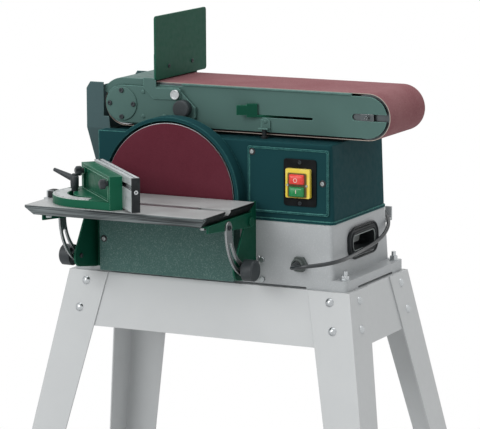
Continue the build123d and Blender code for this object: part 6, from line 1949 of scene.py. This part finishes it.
@dataclass(frozen=True)
class Lamp:
    """Soft square lamp: its place, aim and side in metres, and its power in watts."""

    name: str
    place: Point
    aim: Point
    size: float
    watts: float

    def hang(self) -> None:
        """Puts the lamp into the scene."""
        light = bpy.data.lights.new(self.name, "AREA")
        light.shape = "SQUARE"
        light.size = self.size
        light.energy = self.watts
        holder = put(self.name, light)
        turn = (Vector(self.aim) - Vector(self.place)).to_track_quat("-Z", "Y")
        holder.matrix_world = Matrix.Translation(self.place) @ turn.to_matrix().to_4x4()


@dataclass
class Studio:
    """Pale floor, soft lamps, white room and the picture's camera, with places and radii in metres."""

    azimuth: float = 26.8
    elevation: float = 9.69
    roll: float = -0.33
    eye: Point = (2.3250, -4.6037, 1.5860)
    focal_px: float = 2887.19
    principal: Flat = (237.71, 211.59)
    picture: tuple[int, int] = (480, 429)
    sensor: float = 36.0
    clip_end: float = 100.0
    floor_r: float = 6.0
    floor_sides: int = 96
    pool_r: Flat = (0.75, 1.25)
    floor_grey: str = "#e9e9e9"
    surround: float = 0.62
    lamps: tuple[Lamp, ...] = (
        Lamp("key_lamp", (-1.6, -4.0, 2.9), (0.0, 0.0, 0.75), 2.4, 95.0),
        Lamp("top_lamp", (0.3, 0.3, 3.6), (0.0, 0.0, 0.8), 2.6, 45.0),
    )

    def place_camera(self) -> None:
        """Puts the camera where the picture was taken from."""
        turn = math.radians(self.azimuth)
        rise = math.radians(self.elevation)
        tip = math.radians(self.roll)
        back = Vector((math.sin(turn) * math.cos(rise), -math.cos(turn) * math.cos(rise), math.sin(rise)))
        right = Vector((math.cos(turn), math.sin(turn), 0.0))
        up = back.cross(right)
        leaned = right * math.cos(tip) + up * math.sin(tip)
        wide, tall = self.picture
        camera = bpy.data.cameras.new("camera")
        camera.sensor_fit = "HORIZONTAL"
        camera.sensor_width = self.sensor
        camera.lens = self.focal_px * self.sensor / wide
        camera.shift_x = (wide / 2 - self.principal[0]) / wide
        camera.shift_y = (self.principal[1] - tall / 2) / wide
        camera.clip_end = self.clip_end
        holder = put("camera", camera)
        turned = Matrix((leaned, back.cross(leaned), back)).transposed().to_4x4()
        holder.matrix_world = Matrix.Translation(self.eye) @ turned
        bpy.context.scene.camera = holder

    def seen(self, tree: Tree) -> Socket:
        """Share that is 1 for what the eye, reflections and glass see, and 0 for light on surfaces.

        Args:
            tree: the tree of the floor or the world.

        Returns:
            The share.
        """
        ray = add_node(tree, "ShaderNodeLightPath").outputs
        first = {0: ray["Is Camera Ray"], 1: ray["Is Glossy Ray"]}
        direct = add_node(tree, "ShaderNodeMath", LARGER, first).outputs["Value"]
        second = {0: direct, 1: ray["Is Transmission Ray"]}
        return add_node(tree, "ShaderNodeMath", LARGER, second).outputs["Value"]

    def make_world(self) -> None:
        """White surroundings for the eye and for reflections, softer light for everything else."""
        world = bpy.data.worlds.new("white_room")
        tree = fresh_tree(world)
        ends = {"Value": self.seen(tree), "To Min": self.surround, "To Max": 1.0}
        strength = add_node(tree, "ShaderNodeMapRange", None, ends).outputs["Result"]
        sky = add_node(tree, "ShaderNodeBackground", None, {"Color": WHITE, "Strength": strength})
        add_node(tree, "ShaderNodeOutputWorld", None, {"Surface": sky.outputs["Background"]})
        bpy.context.scene.world = world

    def floor_paint(self) -> Material:
        """Matt paint that keeps the shadow under the machine and fades to white further out.

        Returns:
            The material.
        """
        material = bpy.data.materials.new("pale_floor")
        tree = fresh_tree(material)
        place = add_node(tree, "ShaderNodeTexCoord").outputs["Object"]
        reach = add_node(tree, "ShaderNodeVectorMath", LENGTH, {0: place}).outputs["Value"]
        ends = {"Value": reach, "From Min": self.pool_r[0], "From Max": self.pool_r[1]}
        fade = add_node(tree, "ShaderNodeMapRange", SMOOTH, ends).outputs["Result"]
        share = add_node(tree, "ShaderNodeMath", TIMES, {0: fade, 1: self.seen(tree)}).outputs["Value"]
        matt = add_node(tree, "ShaderNodeBsdfDiffuse", None, {"Color": linear(self.floor_grey)})
        white = add_node(tree, "ShaderNodeEmission", None, {"Color": WHITE, "Strength": 1.0})
        layers = {0: share, 1: matt.outputs["BSDF"], 2: white.outputs["Emission"]}
        both = add_node(tree, "ShaderNodeMixShader", None, layers)
        add_node(tree, "ShaderNodeOutputMaterial", None, {"Surface": both.outputs["Shader"]})
        return material

    def make_floor(self) -> None:
        """Lays the round pale floor."""
        disc = bmesh.new()
        bmesh.ops.create_circle(disc, cap_ends=True, segments=self.floor_sides, radius=self.floor_r)
        mesh = bpy.data.meshes.new("floor")
        disc.to_mesh(mesh)
        disc.free()
        mesh.materials.append(self.floor_paint())
        floor = put("floor", mesh)

    def build(self) -> None:
        """Makes the whole studio."""
        bpy.context.scene.view_settings.view_transform = "Standard"
        self.make_world()
        self.make_floor()
        for lamp in self.lamps:
            lamp.hang()
        self.place_camera()


def clear_start_scene() -> None:
    """Removes what Blender starts with, so that only the frame is left."""
    kept = set(frame["bodies"].values()) | set(frame["nodes"].values())
    for item in list(bpy.data.objects):
        if item not in kept:
            bpy.data.objects.remove(item)


def main() -> None:
    """Builds the studio, then builds and dresses every sub-assembly in order."""
    logging.basicConfig(level=logging.INFO, format="%(name)s: %(message)s")
    clear_start_scene()
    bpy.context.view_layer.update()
    shop = PaintShop()
    press = FittingPress(shop)
    Studio().build()
    for kind in (MainsLead, SheetStand, BaseCasting, Housing, DiscSander, BeltArm, TiltTable, MitreGauge):
        part = kind(shop, press)
        part.dress()
        part.build()


if __name__ == "__main__":
    main()
